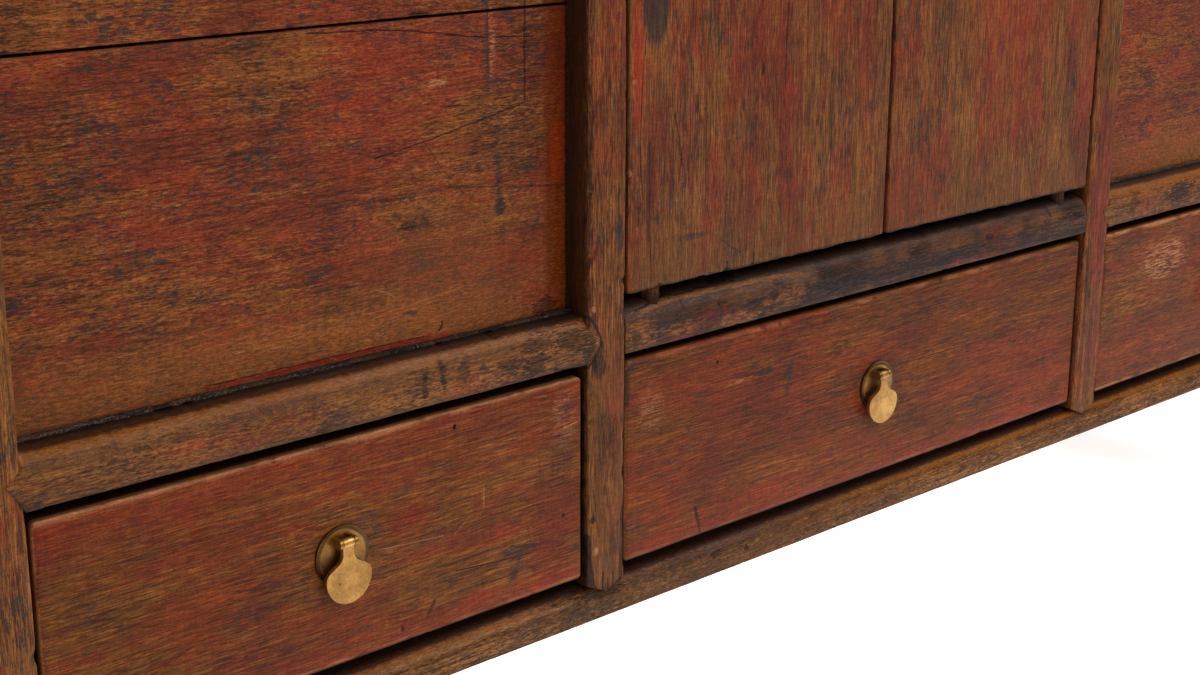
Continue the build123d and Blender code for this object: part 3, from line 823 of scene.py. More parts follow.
@dataclass(frozen=True)
class AgedLacquer:
    """Red lacquer worn back to stained elm under a thin varnish.

    The steps below the fields give the levels of a noise between which a change is made, and
    after them what it gives at each level, where that isn't 0 and 1.
    """

    grain: Axis
    light: Colour = shade(148, 90, 46)
    middle: Colour = shade(112, 64, 33)
    dark: Colour = shade(54, 33, 23)
    red: Colour = shade(144, 48, 32)
    deep_red: Colour = shade(112, 40, 28)
    slate: Colour = shade(52, 47, 44)
    soot: Colour = shade(50, 30, 22)
    arris: Colour = shade(150, 94, 50)
    red_level: float = 0.47
    red_share: float = 0.72
    run: float = 16.0
    slate_level: float = 0.73
    slate_share: float = 0.75
    soot_level: float = 0.6
    soot_share: float = 0.45
    rubbed_and_glint_share: float = 0.35
    arris_share: float = 0.35
    gloss: float = 0.36
    grit: float = 0.16
    hue_swing: tuple[float, float, float] = (0.4, 0.7, 1.1)
    coat: float = 0.04
    sheen: float = 0.3
    specular: float = 0.05
    relief: float = 0.16
    board_swing: float = 0.08
    seed: float = 0.0
    marks: tuple[Mark, ...] = ()

    red_step = (0.38, 0.6)
    red_fibre_step = (0.4, 0.6, 0.5, 0.0)
    lacquer_rim = (0.05, 0.07)
    soot_rim = 0.1
    slate_rim = 0.03
    rubbed_and_glint_step = (0.6, 0.68)
    arris_step = (0.25, 0.85)
    arris_streak_step = (0.36, 0.55, 0.45, 1.0)
    chip_step = (0.6, 0.9)
    middle_step = (0.68, 0.82)
    light_step = (0.84, 1.0)
    pore_step = (0.55, 0.62)
    grit_step = (0.32, 0.68)
    pore_tone_step = (0.36, 0.6)
    wiping_step = (0.35, 0.65, 0.92, 1.07)
    hairline_step = (0.0035, 0.0, 0.0, 0.6)
    hairline_streak_step = (0.46, 0.56)
    fleck_step = (0.49, 0.55)

    grit_size = 0.9
    bend_size = 11
    bend_reach = 1.8
    wander_reach = 5.0
    seed_shift = 37
    board_shifts = (9100.0, 5700.0, 7300.0)
    coat_index = 1.5

    def figure(self, graph: Graph, point: Socket, kind: Figure, output: str = "Fac") -> Socket:
        """One of the noises, stretched along the grain.

        Args:
            graph: Tree that grows.
            point: Place in millimetres.
            kind: Which noise.
            output: "Fac" for one number or "Color" for three.

        Returns:
            The noise, from 0 to 1.
        """
        swell = kind.value
        scale = [1 / swell.across] * 3
        scale[self.grain.value] = 1 / (swell.along + swell.run_share * self.run)
        return graph.noise(graph.vector("MULTIPLY", point, tuple(scale)), swell.detail, swell.rough, output)

    def material(self, name: str) -> Material:
        """Make the shader.

        Args:
            name: Name of the material.

        Returns:
            The material.
        """
        made, graph = blank_material(name)
        point = graph.millimetres()
        grain_point = self.grain_point(graph, point)
        fibre = self.figure(graph, grain_point, Figure.FIBRE)
        fine = self.figure(graph, grain_point, Figure.FINE_FIBRE)
        cloud = self.figure(graph, grain_point, Figure.CLOUD)
        streak = graph.line(self.figure(graph, grain_point, Figure.STREAK), 0.6, graph.times(fine, 0.4))
        colour = self.wood(graph, grain_point, fibre, fine, cloud)
        lacquer = self.lacquer_mask(graph, grain_point, streak)
        red = graph.mix(graph.remap(cloud, *self.red_step), self.deep_red, self.red)
        red = graph.mix(graph.remap(fibre, *self.red_fibre_step), red, self.dark)
        colour = graph.mix(lacquer, colour, red)
        colour = graph.mix(self.soot_mask(graph, grain_point, streak), colour, self.soot)
        # Rubbed spots: bare wear on the wood, and painted glints on the dirt crust.
        rubbed = self.figure(graph, grain_point, Figure.RUBBING_AND_GLINT)
        rubbed = graph.remap(rubbed, *self.rubbed_and_glint_step, 0.0, self.rubbed_and_glint_share)
        colour = graph.mix(rubbed, colour, self.light)
        dashes = self.slate_mask(graph, grain_point)
        colour = graph.mix(dashes, colour, self.slate)
        colour = graph.mix(self.hairlines(graph, grain_point, streak), colour, self.slate)
        height = graph.times(graph.math("ADD", fibre, fine), self.relief)
        height = graph.math("SUBTRACT", height, graph.times(dashes, self.relief * 0.8))
        rough = graph.blend(lacquer, self.gloss + 0.1, self.gloss)
        rough = graph.blend(dashes, rough, self.gloss + 0.25)
        colour = self.with_edges(graph, fine, streak, colour)
        colour, height, rough = self.with_marks(graph, point, streak, colour, height, rough)
        colour = self.toned(graph, point, grain_point, fine, colour)
        graph.surface(colour, rough, height, {
            "Specular IOR Level": self.specular,
            "Coat Weight": self.coat,
            "Coat Roughness": self.sheen,
            "Coat IOR": self.coat_index,
        })
        return made

    def grain_point(self, graph: Graph, point: Socket) -> Socket:
        """Place for the grain: apart for each board, and wandering a little along it.

        Args:
            graph: Tree that grows.
            point: Place in millimetres.

        Returns:
            The shifted place, in millimetres.
        """
        shifts = {i: graph.line(graph.attribute("board"), factor, self.seed * self.seed_shift)
                  for i, factor in enumerate(self.board_shifts)}
        moved = graph.vector("ADD", point, graph.node("ShaderNodeCombineXYZ", shifts).outputs[0])
        wander = graph.drift(self.figure(graph, moved, Figure.WANDER, "Color"), self.wander_reach)
        return graph.vector("ADD", moved, wander)

    def wood(self, graph: Graph, grain_point: Socket, fibre: Socket, fine: Socket, cloud: Socket) -> Socket:
        """Stained wood.

        Args:
            graph: Tree that grows.
            grain_point: Place for the grain.
            fibre: Noise of the fibres.
            fine: Noise of the fine fibres.
            cloud: Broad noise.

        Returns:
            Its colour.
        """
        band = self.figure(graph, grain_point, Figure.BAND)
        tone = graph.line(fibre, 0.9, graph.times(band, 0.5))
        tone = graph.line(cloud, 0.3, tone)
        low = graph.mix(graph.remap(tone, *self.middle_step), self.dark, self.middle)
        wood = graph.mix(graph.remap(tone, *self.light_step), low, self.light)
        pores = graph.remap(fine, *self.pore_step)
        return graph.mix(graph.times(pores, 0.6), wood, self.dark)

    def lacquer_mask(self, graph: Graph, grain_point: Socket, streak: Socket) -> Socket:
        """Where red lacquer remains.

        Args:
            graph: Tree that grows.
            grain_point: Place for the grain.
            streak: Streaky noise along the grain.

        Returns:
            Its share, from 0 to 1.
        """
        island = self.figure(graph, grain_point, Figure.LACQUER)
        level = graph.line(graph.swing(streak), 1.0, island)
        below, above = self.lacquer_rim
        mask = graph.remap(level, self.red_level - below, self.red_level + above)
        return graph.times(mask, self.red_share)

    def soot_mask(self, graph: Graph, grain_point: Socket, streak: Socket) -> Socket:
        """Where soot lies, in clouds with a streaky rim.

        Args:
            graph: Tree that grows.
            grain_point: Place for the grain.
            streak: Streaky noise along the grain.

        Returns:
            Its share, from 0 to 1.
        """
        cloudy = self.figure(graph, grain_point, Figure.SOOT)
        level = graph.line(graph.swing(streak), 1.3, cloudy)
        return graph.remap(level, self.soot_level, self.soot_level + self.soot_rim, 0.0, self.soot_share)

    def slate_mask(self, graph: Graph, grain_point: Socket) -> Socket:
        """Short dark dashes along the grain, gathered in patches.

        Args:
            graph: Tree that grows.
            grain_point: Place for the grain.

        Returns:
            Their share, from 0 to 1.
        """
        dash = self.figure(graph, grain_point, Figure.DASH)
        gathered = self.figure(graph, grain_point, Figure.DASH_PATCH)
        level = graph.line(gathered, 0.5, graph.times(dash, 0.8))
        mask = graph.remap(level, self.slate_level, self.slate_level + self.slate_rim)
        return graph.times(mask, self.slate_share)

    def hairlines(self, graph: Graph, grain_point: Socket, streak: Socket) -> Socket:
        """Thin wandering scratches and hairline cracks.

        Args:
            graph: Tree that grows.
            grain_point: Place for the grain.
            streak: Streaky noise along the grain.

        Returns:
            Their share, from 0 to 1.
        """
        ridge = graph.math("ABSOLUTE", graph.swing(self.figure(graph, grain_point, Figure.HAIRLINE)))
        line = graph.remap(ridge, *self.hairline_step)
        return graph.times(line, graph.remap(streak, *self.hairline_streak_step))

    def with_edges(self, graph: Graph, fine: Socket, streak: Socket, colour: Socket) -> Socket:
        """Bare the arrises and darken the chips.

        Args:
            graph: Tree that grows.
            fine: Noise of the fine fibres.
            streak: Streaky noise along the grain.
            colour: Colour so far.

        Returns:
            The colour with its edges.
        """
        bare = graph.times(graph.remap(graph.attribute("arris"), *self.arris_step), self.arris_share)
        bare = graph.times(bare, graph.remap(streak, *self.arris_streak_step))
        colour = graph.mix(bare, colour, self.arris)
        chip = graph.math("ADD", graph.attribute("chip"), graph.times(fine, 0.4))
        return graph.mix(graph.times(graph.remap(chip, *self.chip_step), 0.7), colour, self.dark)

    def with_marks(self, graph: Graph, point: Socket, streak: Socket, colour: Socket, height: Socket,
                   rough: Socket) -> tuple[Socket, Socket, Socket]:
        """Lay the hand-placed marks over the finish.

        Args:
            graph: Tree that grows.
            point: Place in millimetres.
            streak: Streaky noise along the grain.
            colour: Colour so far.
            height: Height so far, in millimetres.
            rough: Roughness so far.

        Returns:
            Colour, height and roughness with the marks.
        """
        bend = graph.noise(graph.scaled(point, 1 / self.bend_size), output="Color")
        bent = graph.vector("ADD", point, graph.drift(bend, self.bend_reach))
        face = graph.vector("MULTIPLY", bent, (1, 0, 1))
        flecks = self.figure(graph, point, Figure.FLECK)
        for mark in self.marks:
            level = mark.closeness(graph, point if isinstance(mark, Fade) else face)
            level = graph.line(graph.swing(streak), mark.ragged, level)
            mask = graph.remap(level, 0.5 - mark.soft, 0.5 + mark.soft, 0.0, mark.strength)
            mask = graph.times(mask, graph.remap(flecks, *self.fleck_step, 1 - mark.speckle, 1.0))
            paint = mark.tint.value
            colour = graph.mix(mask, colour, paint.colour)
            height = graph.line(mask, paint.height, height)
            rough = graph.blend(mask, rough, paint.rough)
        return colour, height, rough

    def toned(self, graph: Graph, point: Socket, grain_point: Socket, fine: Socket, colour: Socket) -> Socket:
        """Break the colour up with grit, pores, faint wiping across the grain and small shifts of hue.

        Args:
            graph: Tree that grows.
            point: Place in millimetres.
            grain_point: Place for the grain.
            fine: Noise of the fine fibres.
            colour: Colour so far.

        Returns:
            The broken colour.
        """
        grit = graph.noise(graph.scaled(point, 1 / self.grit_size), 1, 0.6)
        wiped = self.figure(graph, grain_point, Figure.WIPING)
        tone = graph.remap(grit, *self.grit_step, 1 - self.grit, 1 + self.grit)
        tone = graph.times(tone, graph.remap(fine, *self.pore_tone_step, 1.1, 1 - self.grit * 1.6))
        tone = graph.times(tone, graph.remap(wiped, *self.wiping_step))
        apart = graph.math("SINE", graph.times(graph.attribute("board"), 17.0))
        tone = graph.times(tone, graph.line(apart, self.board_swing, 1.0))
        hues = self.figure(graph, grain_point, Figure.HUE, "Color")
        shift = graph.vector("MULTIPLY_ADD", hues, self.hue_swing, tuple(1 - s / 2 for s in self.hue_swing))
        return graph.vector("MULTIPLY", graph.scaled(colour, tone), shift)


@dataclass(frozen=True)
class Ring:
    """Line round a plate, in millimetres: centre as X and Z, radius and half width. Most are engraved; the
    one along the rim is painted shade.
    """

    centre: tuple[float, float]
    radius: float
    half: float

    def closeness(self, graph: Graph, point: Socket) -> Socket:
        """Closeness to the line.

        Args:
            graph: Tree that grows.
            point: Place in millimetres.

        Returns:
            1 on the line and 0 beyond its half width.
        """
        flat = graph.vector("MULTIPLY", point, (1, 0, 1))
        reach = graph.vector("LENGTH", graph.vector("SUBTRACT", flat, (self.centre[0], 0, self.centre[1])))
        gap = graph.math("ABSOLUTE", graph.math("SUBTRACT", reach, self.radius))
        return graph.remap(gap, self.half, 0.0)


@dataclass(frozen=True)
class Brass:
    """Aged sheet brass with a brown skin, rubbed high spots, pits, scratches, engraved rings and a painted
    shade round its rim.
    """

    bright: Colour = shade(200, 154, 86)
    brown: Colour = shade(150, 108, 58)
    deep: Colour = shade(58, 38, 22)
    ring_share: float = 0.75
    ring_depth: float = 0.4
    rings: tuple[Ring, ...] = ()
    seed: float = 0.0

    skin_size = 26
    speck_size = 1.6
    pit_size = 2.4
    scratch_sizes = (22, 2, 0.5)
    skin_step = (0.42, 0.78)
    pit_step = (0.6, 0.7, 0.0, 0.8)
    seed_shift = 31
    relief = 0.05
    rough_bright = 0.28
    rough_brown = 0.5

    def material(self, name: str) -> Material:
        """Make the shader.

        Args:
            name: Name of the material.

        Returns:
            The material.
        """
        made, graph = blank_material(name)
        point = graph.vector("ADD", graph.millimetres(), (self.seed * self.seed_shift,) * 3)
        skin = graph.noise(graph.scaled(point, 1 / self.skin_size), 4, 0.6)
        speck = graph.noise(graph.scaled(point, 1 / self.speck_size), 3, 0.6)
        scratch = graph.vector("MULTIPLY", point, tuple(1 / size for size in self.scratch_sizes))
        scratch = graph.noise(scratch, 2, 0.5)
        mask = graph.remap(graph.line(speck, 0.3, graph.times(skin, 0.9)), *self.skin_step)
        colour = graph.mix(mask, self.bright, self.brown)
        pits = graph.noise(graph.scaled(point, 1 / self.pit_size), 4, 0.7)
        colour = graph.mix(graph.remap(pits, *self.pit_step), colour, self.deep)
        height = graph.times(graph.math("ADD", speck, scratch), self.relief)
        for ring in self.rings:
            line = ring.closeness(graph, graph.millimetres())
            colour = graph.mix(graph.times(line, self.ring_share), colour, self.deep)
            height = graph.line(line, -self.ring_depth, height)
        rough = graph.blend(mask, self.rough_bright, self.rough_brown)
        graph.surface(colour, rough, height, {"Metallic": 1.0})
        return made


def dress(node: str, finish: Material) -> None:
    """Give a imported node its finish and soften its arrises.

    Args:
        node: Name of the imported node.
        finish: Material for the whole node.
    """
    made = frame["nodes"][node]
    made.data.materials.clear()
    made.data.materials.append(finish)
    weld = made.modifiers.new("weld", "WELD")
    weld.merge_threshold = WELD_GAP
    soft = made.modifiers.new("soft_arris", "BEVEL")
    soft.width = SOFT_ARRIS
    soft.segments = 2
    soft.limit_method = "ANGLE"
    soft.angle_limit = SOFT_ANGLE
    soft.harden_normals = True
    LOG.info("dressed %s", node)


def stand_for(node: str, timbers: list[Timber], finish: Material) -> None:
    """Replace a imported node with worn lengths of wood.

    Args:
        node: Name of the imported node.
        timbers: The lengths of wood that stand for it.
        finish: Their material.
    """
    piece = build_mesh(f"{node}_worn", timbers)
    piece.data.materials.append(finish)
    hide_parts(node)
    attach(piece, BODY_OF[node])
    LOG.info("made %s with %d faces", piece.name, len(piece.data.polygons))


@dataclass
class FrontFrame:
    """Rails and stiles of the front, and the four corner posts."""

    nose_round: float = 16.0 * MM
    lower_round: float = 2.5 * MM
    back_round: float = 0.8 * MM
    stile_round: float = 2.4 * MM
    post_round: float = 3.0 * MM
    lap_reach: float = 11.0 * MM
    foot_reach: float = 8.0 * MM
    lap_proud: float = 0.5 * MM
    pitch: float = 4.0 * MM
    post_pitch: float = 6.0 * MM
    long_wear: Wear = Wear(arris=0.2 * MM, chip=0.3 * MM, wave=0.3 * MM, chip_share=0.5)
    stile_wear: Wear = Wear(arris=1.0 * MM, chip=1.8 * MM)
    post_wear: Wear = Wear(arris=1.0 * MM)

    def build(self) -> None:
        """Make every length of the frame."""
        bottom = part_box("bottom_rail_front")
        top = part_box("top_rail_front")
        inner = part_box("corner_post_front_left")[1].x
        self.mid_rails(inner)
        lengths = {
            "bottom_rail_front": (bottom[0].z, bottom[1].z, self.nose_round, BOTTOM_RAIL),
            "top_rail_front": (top[0].z, top[1].z, self.lower_round, FRAME_RAIL),
        }
        for node, (low, high, nose, finish) in lengths.items():
            rounds = (self.lower_round, self.back_round, self.back_round, nose)
            timber = Timber(Vector((inner, bottom[0].y, low)), Vector((-inner, bottom[1].y, high)), Axis.X,
                            rounds, pitch=self.pitch, wear=self.long_wear)
            stand_for(node, [timber], finish.material(node))
        self.stiles(bottom[1].z, top[0].z)
        self.posts()

    def mid_rails(self, inner: float) -> None:
        """Make the three mid rails, the side ones with their pointed laps.

        Args:
            inner: Inner face of the left front post.
        """
        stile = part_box("stile_left")
        spans = {
            "mid_rail_left": (inner - self.lap_reach, stile[0].x + self.lap_reach, MID_RAIL_LEFT),
            "mid_rail_centre": (stile[1].x, -stile[1].x, MID_RAIL_CENTRE),
            "mid_rail_right": (-stile[0].x - self.lap_reach, -inner + self.lap_reach, MID_RAIL_RIGHT),
        }
        rounds = (self.lower_round, self.back_round, self.back_round, self.nose_round)
        for node, (low_x, high_x, finish) in spans.items():
            low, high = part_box(node)
            lapped = node != "mid_rail_centre"
            reach = self.lap_reach if lapped else 0.0
            front = low.y - (self.lap_proud if lapped else 0.0)
            timber = Timber(Vector((low_x, front, low.z)), Vector((high_x, high.y, high.z)), Axis.X,
                            rounds, pitch=self.pitch, tips=(reach, reach))
            stand_for(node, [timber], finish.material(node))

    def stiles(self, base: float, top: float) -> None:
        """Make the stiles with their pointed feet.

        Args:
            base: Top of the bottom rail.
            top: Underside of the top rail.
        """
        rounds = (self.stile_round, self.stile_round, self.back_round, self.back_round)
        for node, finish in (("stile_left", STILE_LEFT), ("stile_right", STILE_RIGHT)):
            low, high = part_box(node)
            timber = Timber(Vector((low.x, low.y, base - self.foot_reach)), Vector((high.x, high.y, top)),
                            Axis.Z, rounds, pitch=self.pitch, tips=(self.foot_reach, 0.0),
                            wear=self.stile_wear)
            stand_for(node, [timber], finish.material(node))

    def posts(self) -> None:
        """Make the four corner posts, which run to the floor."""
        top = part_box("top_frame_front")[0].z
        for index, way in enumerate(("front_left", "front_right", "back_left", "back_right")):
            node = f"corner_post_{way}"
            low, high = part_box(node)
            timber = Timber(low, Vector((high.x, high.y, top)), Axis.Z, (self.post_round,) * 4,
                            pitch=self.post_pitch, wear=self.post_wear)
            finish = replace(FRAME_POST, seed=3.0 + index)
            stand_for(node, [timber], finish.material(node))


@dataclass(frozen=True)
class BoardPlan:
    """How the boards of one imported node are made. The swell widens each board on both sides."""

    grain: Axis
    finish: AgedLacquer
    slot: str
    pitch: float
    wear: Wear = Wear(arris=0.4 * MM, chip=0.8 * MM, wave=0.8 * MM)
    swell: float = 0.0


@dataclass
class Panels:
    """Boards of the front, the ends, the back, the shelf and the top, and the dirt at their foot, with
    painted glints on it.
    """

    board_round: float = 0.4 * MM
    shift: float = 0.37
    back_wear: Wear = Wear(arris=0.2 * MM, chip=0.2 * MM, wave=0.1 * MM)
    back_swell: float = 0.5 * MM
    crust_depth: float = 5.0 * MM
    crust_height: float = 2.2 * MM
    crust_rounds: tuple[float, float, float, float] = (0.5, 0.3, 0.5, 0.9)
    crust_pitch: float = 0.9 * MM
    crust_wear: Wear = Wear(arris=0.2 * MM, chip=0.7 * MM, wave=0.6 * MM, chip_share=0.3)

    def plans(self) -> dict[str, BoardPlan]:
        """Say how the boards of each node are made.

        Returns:
            Plan for each node by its name. The back boards have swollen tight.
        """
        return {
            "front_panel_left": BoardPlan(Axis.X, PANEL_LEFT, "panel_lacquer", 4.0 * MM),
            "front_panel_right": BoardPlan(Axis.X, PANEL_RIGHT, "panel_lacquer", 6.0 * MM),
            "end_panel_left": BoardPlan(Axis.Z, END_PANEL, "frame_lacquer", 8.0 * MM),
            "end_panel_right": BoardPlan(Axis.Z, replace(END_PANEL, seed=19.0), "frame_lacquer", 8.0 * MM),
            "back_boards": BoardPlan(Axis.Z, replace(BARE_ELM, grain=Axis.Z, seed=6.0), "bare_elm",
                                     16.0 * MM, self.back_wear, self.back_swell),
            "shelf_boards": BoardPlan(Axis.X, replace(BARE_ELM, seed=25.0), "bare_elm", 16.0 * MM),
            "top_boards": BoardPlan(Axis.X, TOP_RAIL, "frame_lacquer", 10.0 * MM),
        }

    def build(self) -> None:
        """Make every panel, board by board."""
        for node, plan in self.plans().items():
            swell = Vector((plan.swell, 0, 0))
            timbers = [
                Timber(low - swell, high + swell, plan.grain, (self.board_round,) * 4, pitch=plan.pitch,
                       board=self.shift * i, wear=plan.wear)
                for i, (low, high) in enumerate(solid_boxes(node))
            ]
            stand_for(node, timbers, plan.finish.material(node))
        crust = DIRT_AND_GLINTS.material("dirt_and_glints")
        for side in ("left", "right"):
            self.crust(side, crust)

    def crust(self, side: str, finish: Material) -> None:
        """Lay the crust of old dirt and lacquer, with painted glints on it, along the foot of a front panel.

        Args:
            side: Left or right.
            finish: Material of the crust.
        """
        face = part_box(f"front_panel_{side}")[0].y
        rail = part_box(f"mid_rail_{side}")[1].z
        near = max(abs(corner.x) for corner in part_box(f"stile_{side}")) * (-1 if side == "left" else 1)
        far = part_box(f"corner_post_front_{side}")[1 if side == "left" else 0].x
        height = self.crust_height
        timber = Timber(Vector((min(near, far), face - self.crust_depth, rail - height / 2)),
                        Vector((max(near, far), face + height / 2, rail + height)), Axis.X,
                        tuple(height * share for share in self.crust_rounds),
                        pitch=self.crust_pitch, wear=self.crust_wear)
        piece = build_mesh(f"panel_crust_{side}", [timber])
        piece.data.materials.append(finish)
        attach(piece, BODY_OF[f"front_panel_{side}"])
        LOG.info("made %s", piece.name)


@dataclass
class Doors:
    """Door boards on their pivots. Only the left door has lost pieces of its lower end."""

    edge_round: float = 2.2 * MM
    seam_round: float = 0.7 * MM
    pitch: float = 4.0 * MM
    ragged: float = 1.2 * MM
    shift: float = 0.21
    wear: Wear = Wear(arris=0.5 * MM, chip=0.9 * MM, wave=0.6 * MM)
    nicks: tuple[Nick, ...] = (
        Nick(-246, 3, 3.5),
        Nick(-178.5, 1.6, 4),
        Nick(-152, 1.2, 3),
        Nick(-205, 5, 1.2),
    )

    def build(self) -> None:
        """Make the boards of both doors."""
        rounds = (self.edge_round,) * 2 + (self.seam_round,) * 2
        for side, finish, nicks in (("left", DOOR_LEFT, self.nicks), ("right", DOOR_RIGHT, ())):
            node = f"door_{side}_boards"
            timbers = [
                Timber(low, high, Axis.Z, rounds, pitch=self.pitch, ragged=self.ragged, board=self.shift * i,
                       nicks=nicks, wear=self.wear)
                for i, (low, high) in enumerate(solid_boxes(node))
            ]
            stand_for(node, timbers, finish.material(node))


@dataclass
class Drawers:
    """Drawer fronts with rounded corners."""

    face_round: float = 2.6 * MM
    back_round: float = 0.8 * MM
    corner_round: float = 4.0 * MM
    pitch: float = 4.0 * MM
    wear: Wear = Wear(arris=0.35 * MM, chip=0.7 * MM, wave=0.3 * MM, chip_share=0.5)

    def build(self) -> None:
        """Make the three drawer fronts."""
        rounds = (self.face_round, self.back_round, self.back_round, self.face_round)
        for name, finish in (("left", DRAWER_LEFT), ("centre", DRAWER_CENTRE), ("right", DRAWER_RIGHT)):
            node = f"drawer_{name}_front"
            low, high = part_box(node)
            timber = Timber(low, high, Axis.X, rounds, end_rounds=(self.face_round, self.corner_round),
                            pitch=self.pitch, wear=self.wear)
            stand_for(node, [timber], finish.material(node))


@dataclass
class PlainParts:
    """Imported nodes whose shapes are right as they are."""

    ring_shares: tuple[float, ...] = (0.94, 0.89)
    ring_half: float = 1.1
    rim_shade_share: float = 0.09

    def rings(self) -> tuple[Ring, ...]:
        """Engraved rings and a rim of painted shade for every plate.

        Returns:
            The rings of all plates.
        """
        rings = []
        for node in ("door_left_plate", "drawer_left_plate", "drawer_centre_plate", "drawer_right_plate"):
            low, high = (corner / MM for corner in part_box(node))
            radius = (high.z - low.z) / 2
            centre = (low.x + radius, low.z + radius)
            rings += [Ring(centre, radius * share, self.ring_half) for share in self.ring_shares]
            # The dark rim is painted shade.
            rings.append(Ring(centre, radius, radius * self.rim_shade_share))
        return tuple(rings)

    def build(self) -> None:
        """Give each remaining node its finish, by the first rule with a word of its name."""
        shown = {node for node in frame["nodes"] if not frame["nodes"][node].hide_render}
        rules = (
            (("plate",), replace(PLATE_BRASS, rings=self.rings()).material("plate_brass")),
            (("pull",), PULL_BRASS.material("pull_brass")),
            (("top_frame_ends",), replace(FRAME_RAIL, grain=Axis.Y, seed=41.0).material("top_ends_finish")),
            (("top_",), TOP_RAIL.material("top_boards_finish")),
            (("back_rail",), replace(FRAME_RAIL, seed=31.0).material("long_rails")),
            (("end_rails",), replace(FRAME_RAIL, grain=Axis.Y, seed=33.0).material("deep_rails")),
            (("pivots",), PIVOT_WOOD.material("pivot_wood")),
            (("bearers", "runners", "guides", "joint_pegs", "_box", "_bottom"),
             replace(BARE_ELM, grain=Axis.Y, seed=5.0).material("bare_elm_deep")),
        )
        long_elm = BARE_ELM.material("bare_elm_long")
        for node in sorted(shown):
            fitting = (finish for words, finish in rules if any(word in node for word in words))
            dress(node, next(fitting, long_elm))


@dataclass(frozen=True)
class Lamp:
    """Square soft light: where it hangs and points, its side in metres and its power in watts."""

    name: str
    place: tuple[float, float, float]
    aim: tuple[float, float, float]
    size: float
    power: float
    colour: tuple[float, float, float] = (1.0, 1.0, 1.0)

    def hang(self) -> None:
        """Hang the light, out of the camera's sight."""
        data = bpy.data.lights.new(self.name, "AREA")
        data.size = self.size
        data.energy = self.power
        data.color = self.colour
        lamp = placed(self.name, data)
        lamp.location = self.place
        lamp.visible_camera = False
        lamp.rotation_euler = (Vector(self.aim) - Vector(self.place)).to_track_quat("-Z", "Y").to_euler()


@dataclass
class Studio:
    """Floor, lights and camera."""

    eye: tuple[float, float, float] = (-1.1497, -1.1848, 0.7312)
    heading: float = 47.28
    tilt: float = 16.18
    roll: float = 0.24
    lens: float = 57.0
    sensor: float = 36.0
    nearest: float = 0.05
    floor_half: float = 30.0
    floor_shade: float = 0.86
    floor_rough: float = 0.8
    floor_specular: float = 0.1
    floor_glow: float = 0.35
    world: Colour = (0.9, 0.9, 0.9, 1.0)
    world_strength: float = 0.22
    backdrop_strength: float = 0.6
    lamps: tuple[Lamp, ...] = (
        Lamp("key", (0.5, -2.9, 2.5), (-0.3, -0.2, 0.5), 2.2, 52.0),
        Lamp("side", (1.5, -1.05, 2.3), (-0.4, -0.3, 0.4), 1.3, 34.0, (0.94, 0.96, 1.0)),
        Lamp("fill", (-3.2, -1.8, 1.4), (-0.3, -0.2, 0.5), 2.0, 10.0),
        Lamp("back", (2.0, 3.0, 2.6), (0.0, 0.0, 0.8), 2.0, 40.0),
        Lamp("under", (0.0, 0.0, 0.155), (0.0, 0.0, 0.0), 1.2, 7.0),
    )

    def build(self) -> None:
        """Set up everything around the cabinet."""
        self.camera()
        self.floor()
        for lamp in self.lamps:
            lamp.hang()
        self.backdrop()
        bpy.context.scene.view_settings.view_transform = "Standard"

    def backdrop(self) -> None:
        """Surround the cabinet with a dim grey that looks as pale as the far floor."""
        world = bpy.data.worlds.new("studio")
        world.use_nodes = True
        world.node_tree.nodes.clear()
        graph = Graph(world.node_tree)
        seen = graph.node("ShaderNodeLightPath").outputs["Is Camera Ray"]
        strength = graph.blend(seen, self.world_strength, self.backdrop_strength)
        background = graph.node("ShaderNodeBackground", {"Color": self.world, "Strength": strength})
        graph.node("ShaderNodeOutputWorld", {"Surface": background.outputs[0]})
        bpy.context.scene.world = world

    def camera(self) -> None:
        """Place the camera by its heading, tilt and roll."""
        turn, down, lean = (math.radians(a) for a in (self.heading, self.tilt, self.roll))
        ahead = Vector((math.cos(turn) * math.cos(down), math.sin(turn) * math.cos(down), -math.sin(down)))
        level = Vector((math.sin(turn), -math.cos(turn), 0))
        upright = level.cross(ahead)
        right = level * math.cos(lean) + upright * math.sin(lean)
        up = upright * math.cos(lean) - level * math.sin(lean)
        data = bpy.data.cameras.new("camera")
        data.lens = self.lens
        data.sensor_width = self.sensor
        data.clip_start = self.nearest
        camera = placed("camera", data)
        turned = Matrix((right, up, -ahead)).transposed().to_4x4()
        camera.matrix_world = Matrix.Translation(self.eye) @ turned
        bpy.context.scene.camera = camera

    def floor(self) -> None:
        """Lay a plain pale floor."""
        half = self.floor_half
        mesh = bpy.data.meshes.new("floor")
        corners = [(-half, -half, 0), (half, -half, 0), (half, half, 0), (-half, half, 0)]
        mesh.from_pydata(corners, [], [(0, 1, 2, 3)])
        floor = placed("floor", mesh)
        material = bpy.data.materials.new("pale_floor")
        material.use_nodes = True
        shader = material.node_tree.nodes["Principled BSDF"]
        shader.inputs["Base Color"].default_value = (self.floor_shade,) * 3 + (1,)
        shader.inputs["Roughness"].default_value = self.floor_rough
        shader.inputs["Specular IOR Level"].default_value = self.floor_specular
        shader.inputs["Emission Color"].default_value = (1, 1, 1, 1)
        shader.inputs["Emission Strength"].default_value = self.floor_glow
        mesh.materials.append(material)


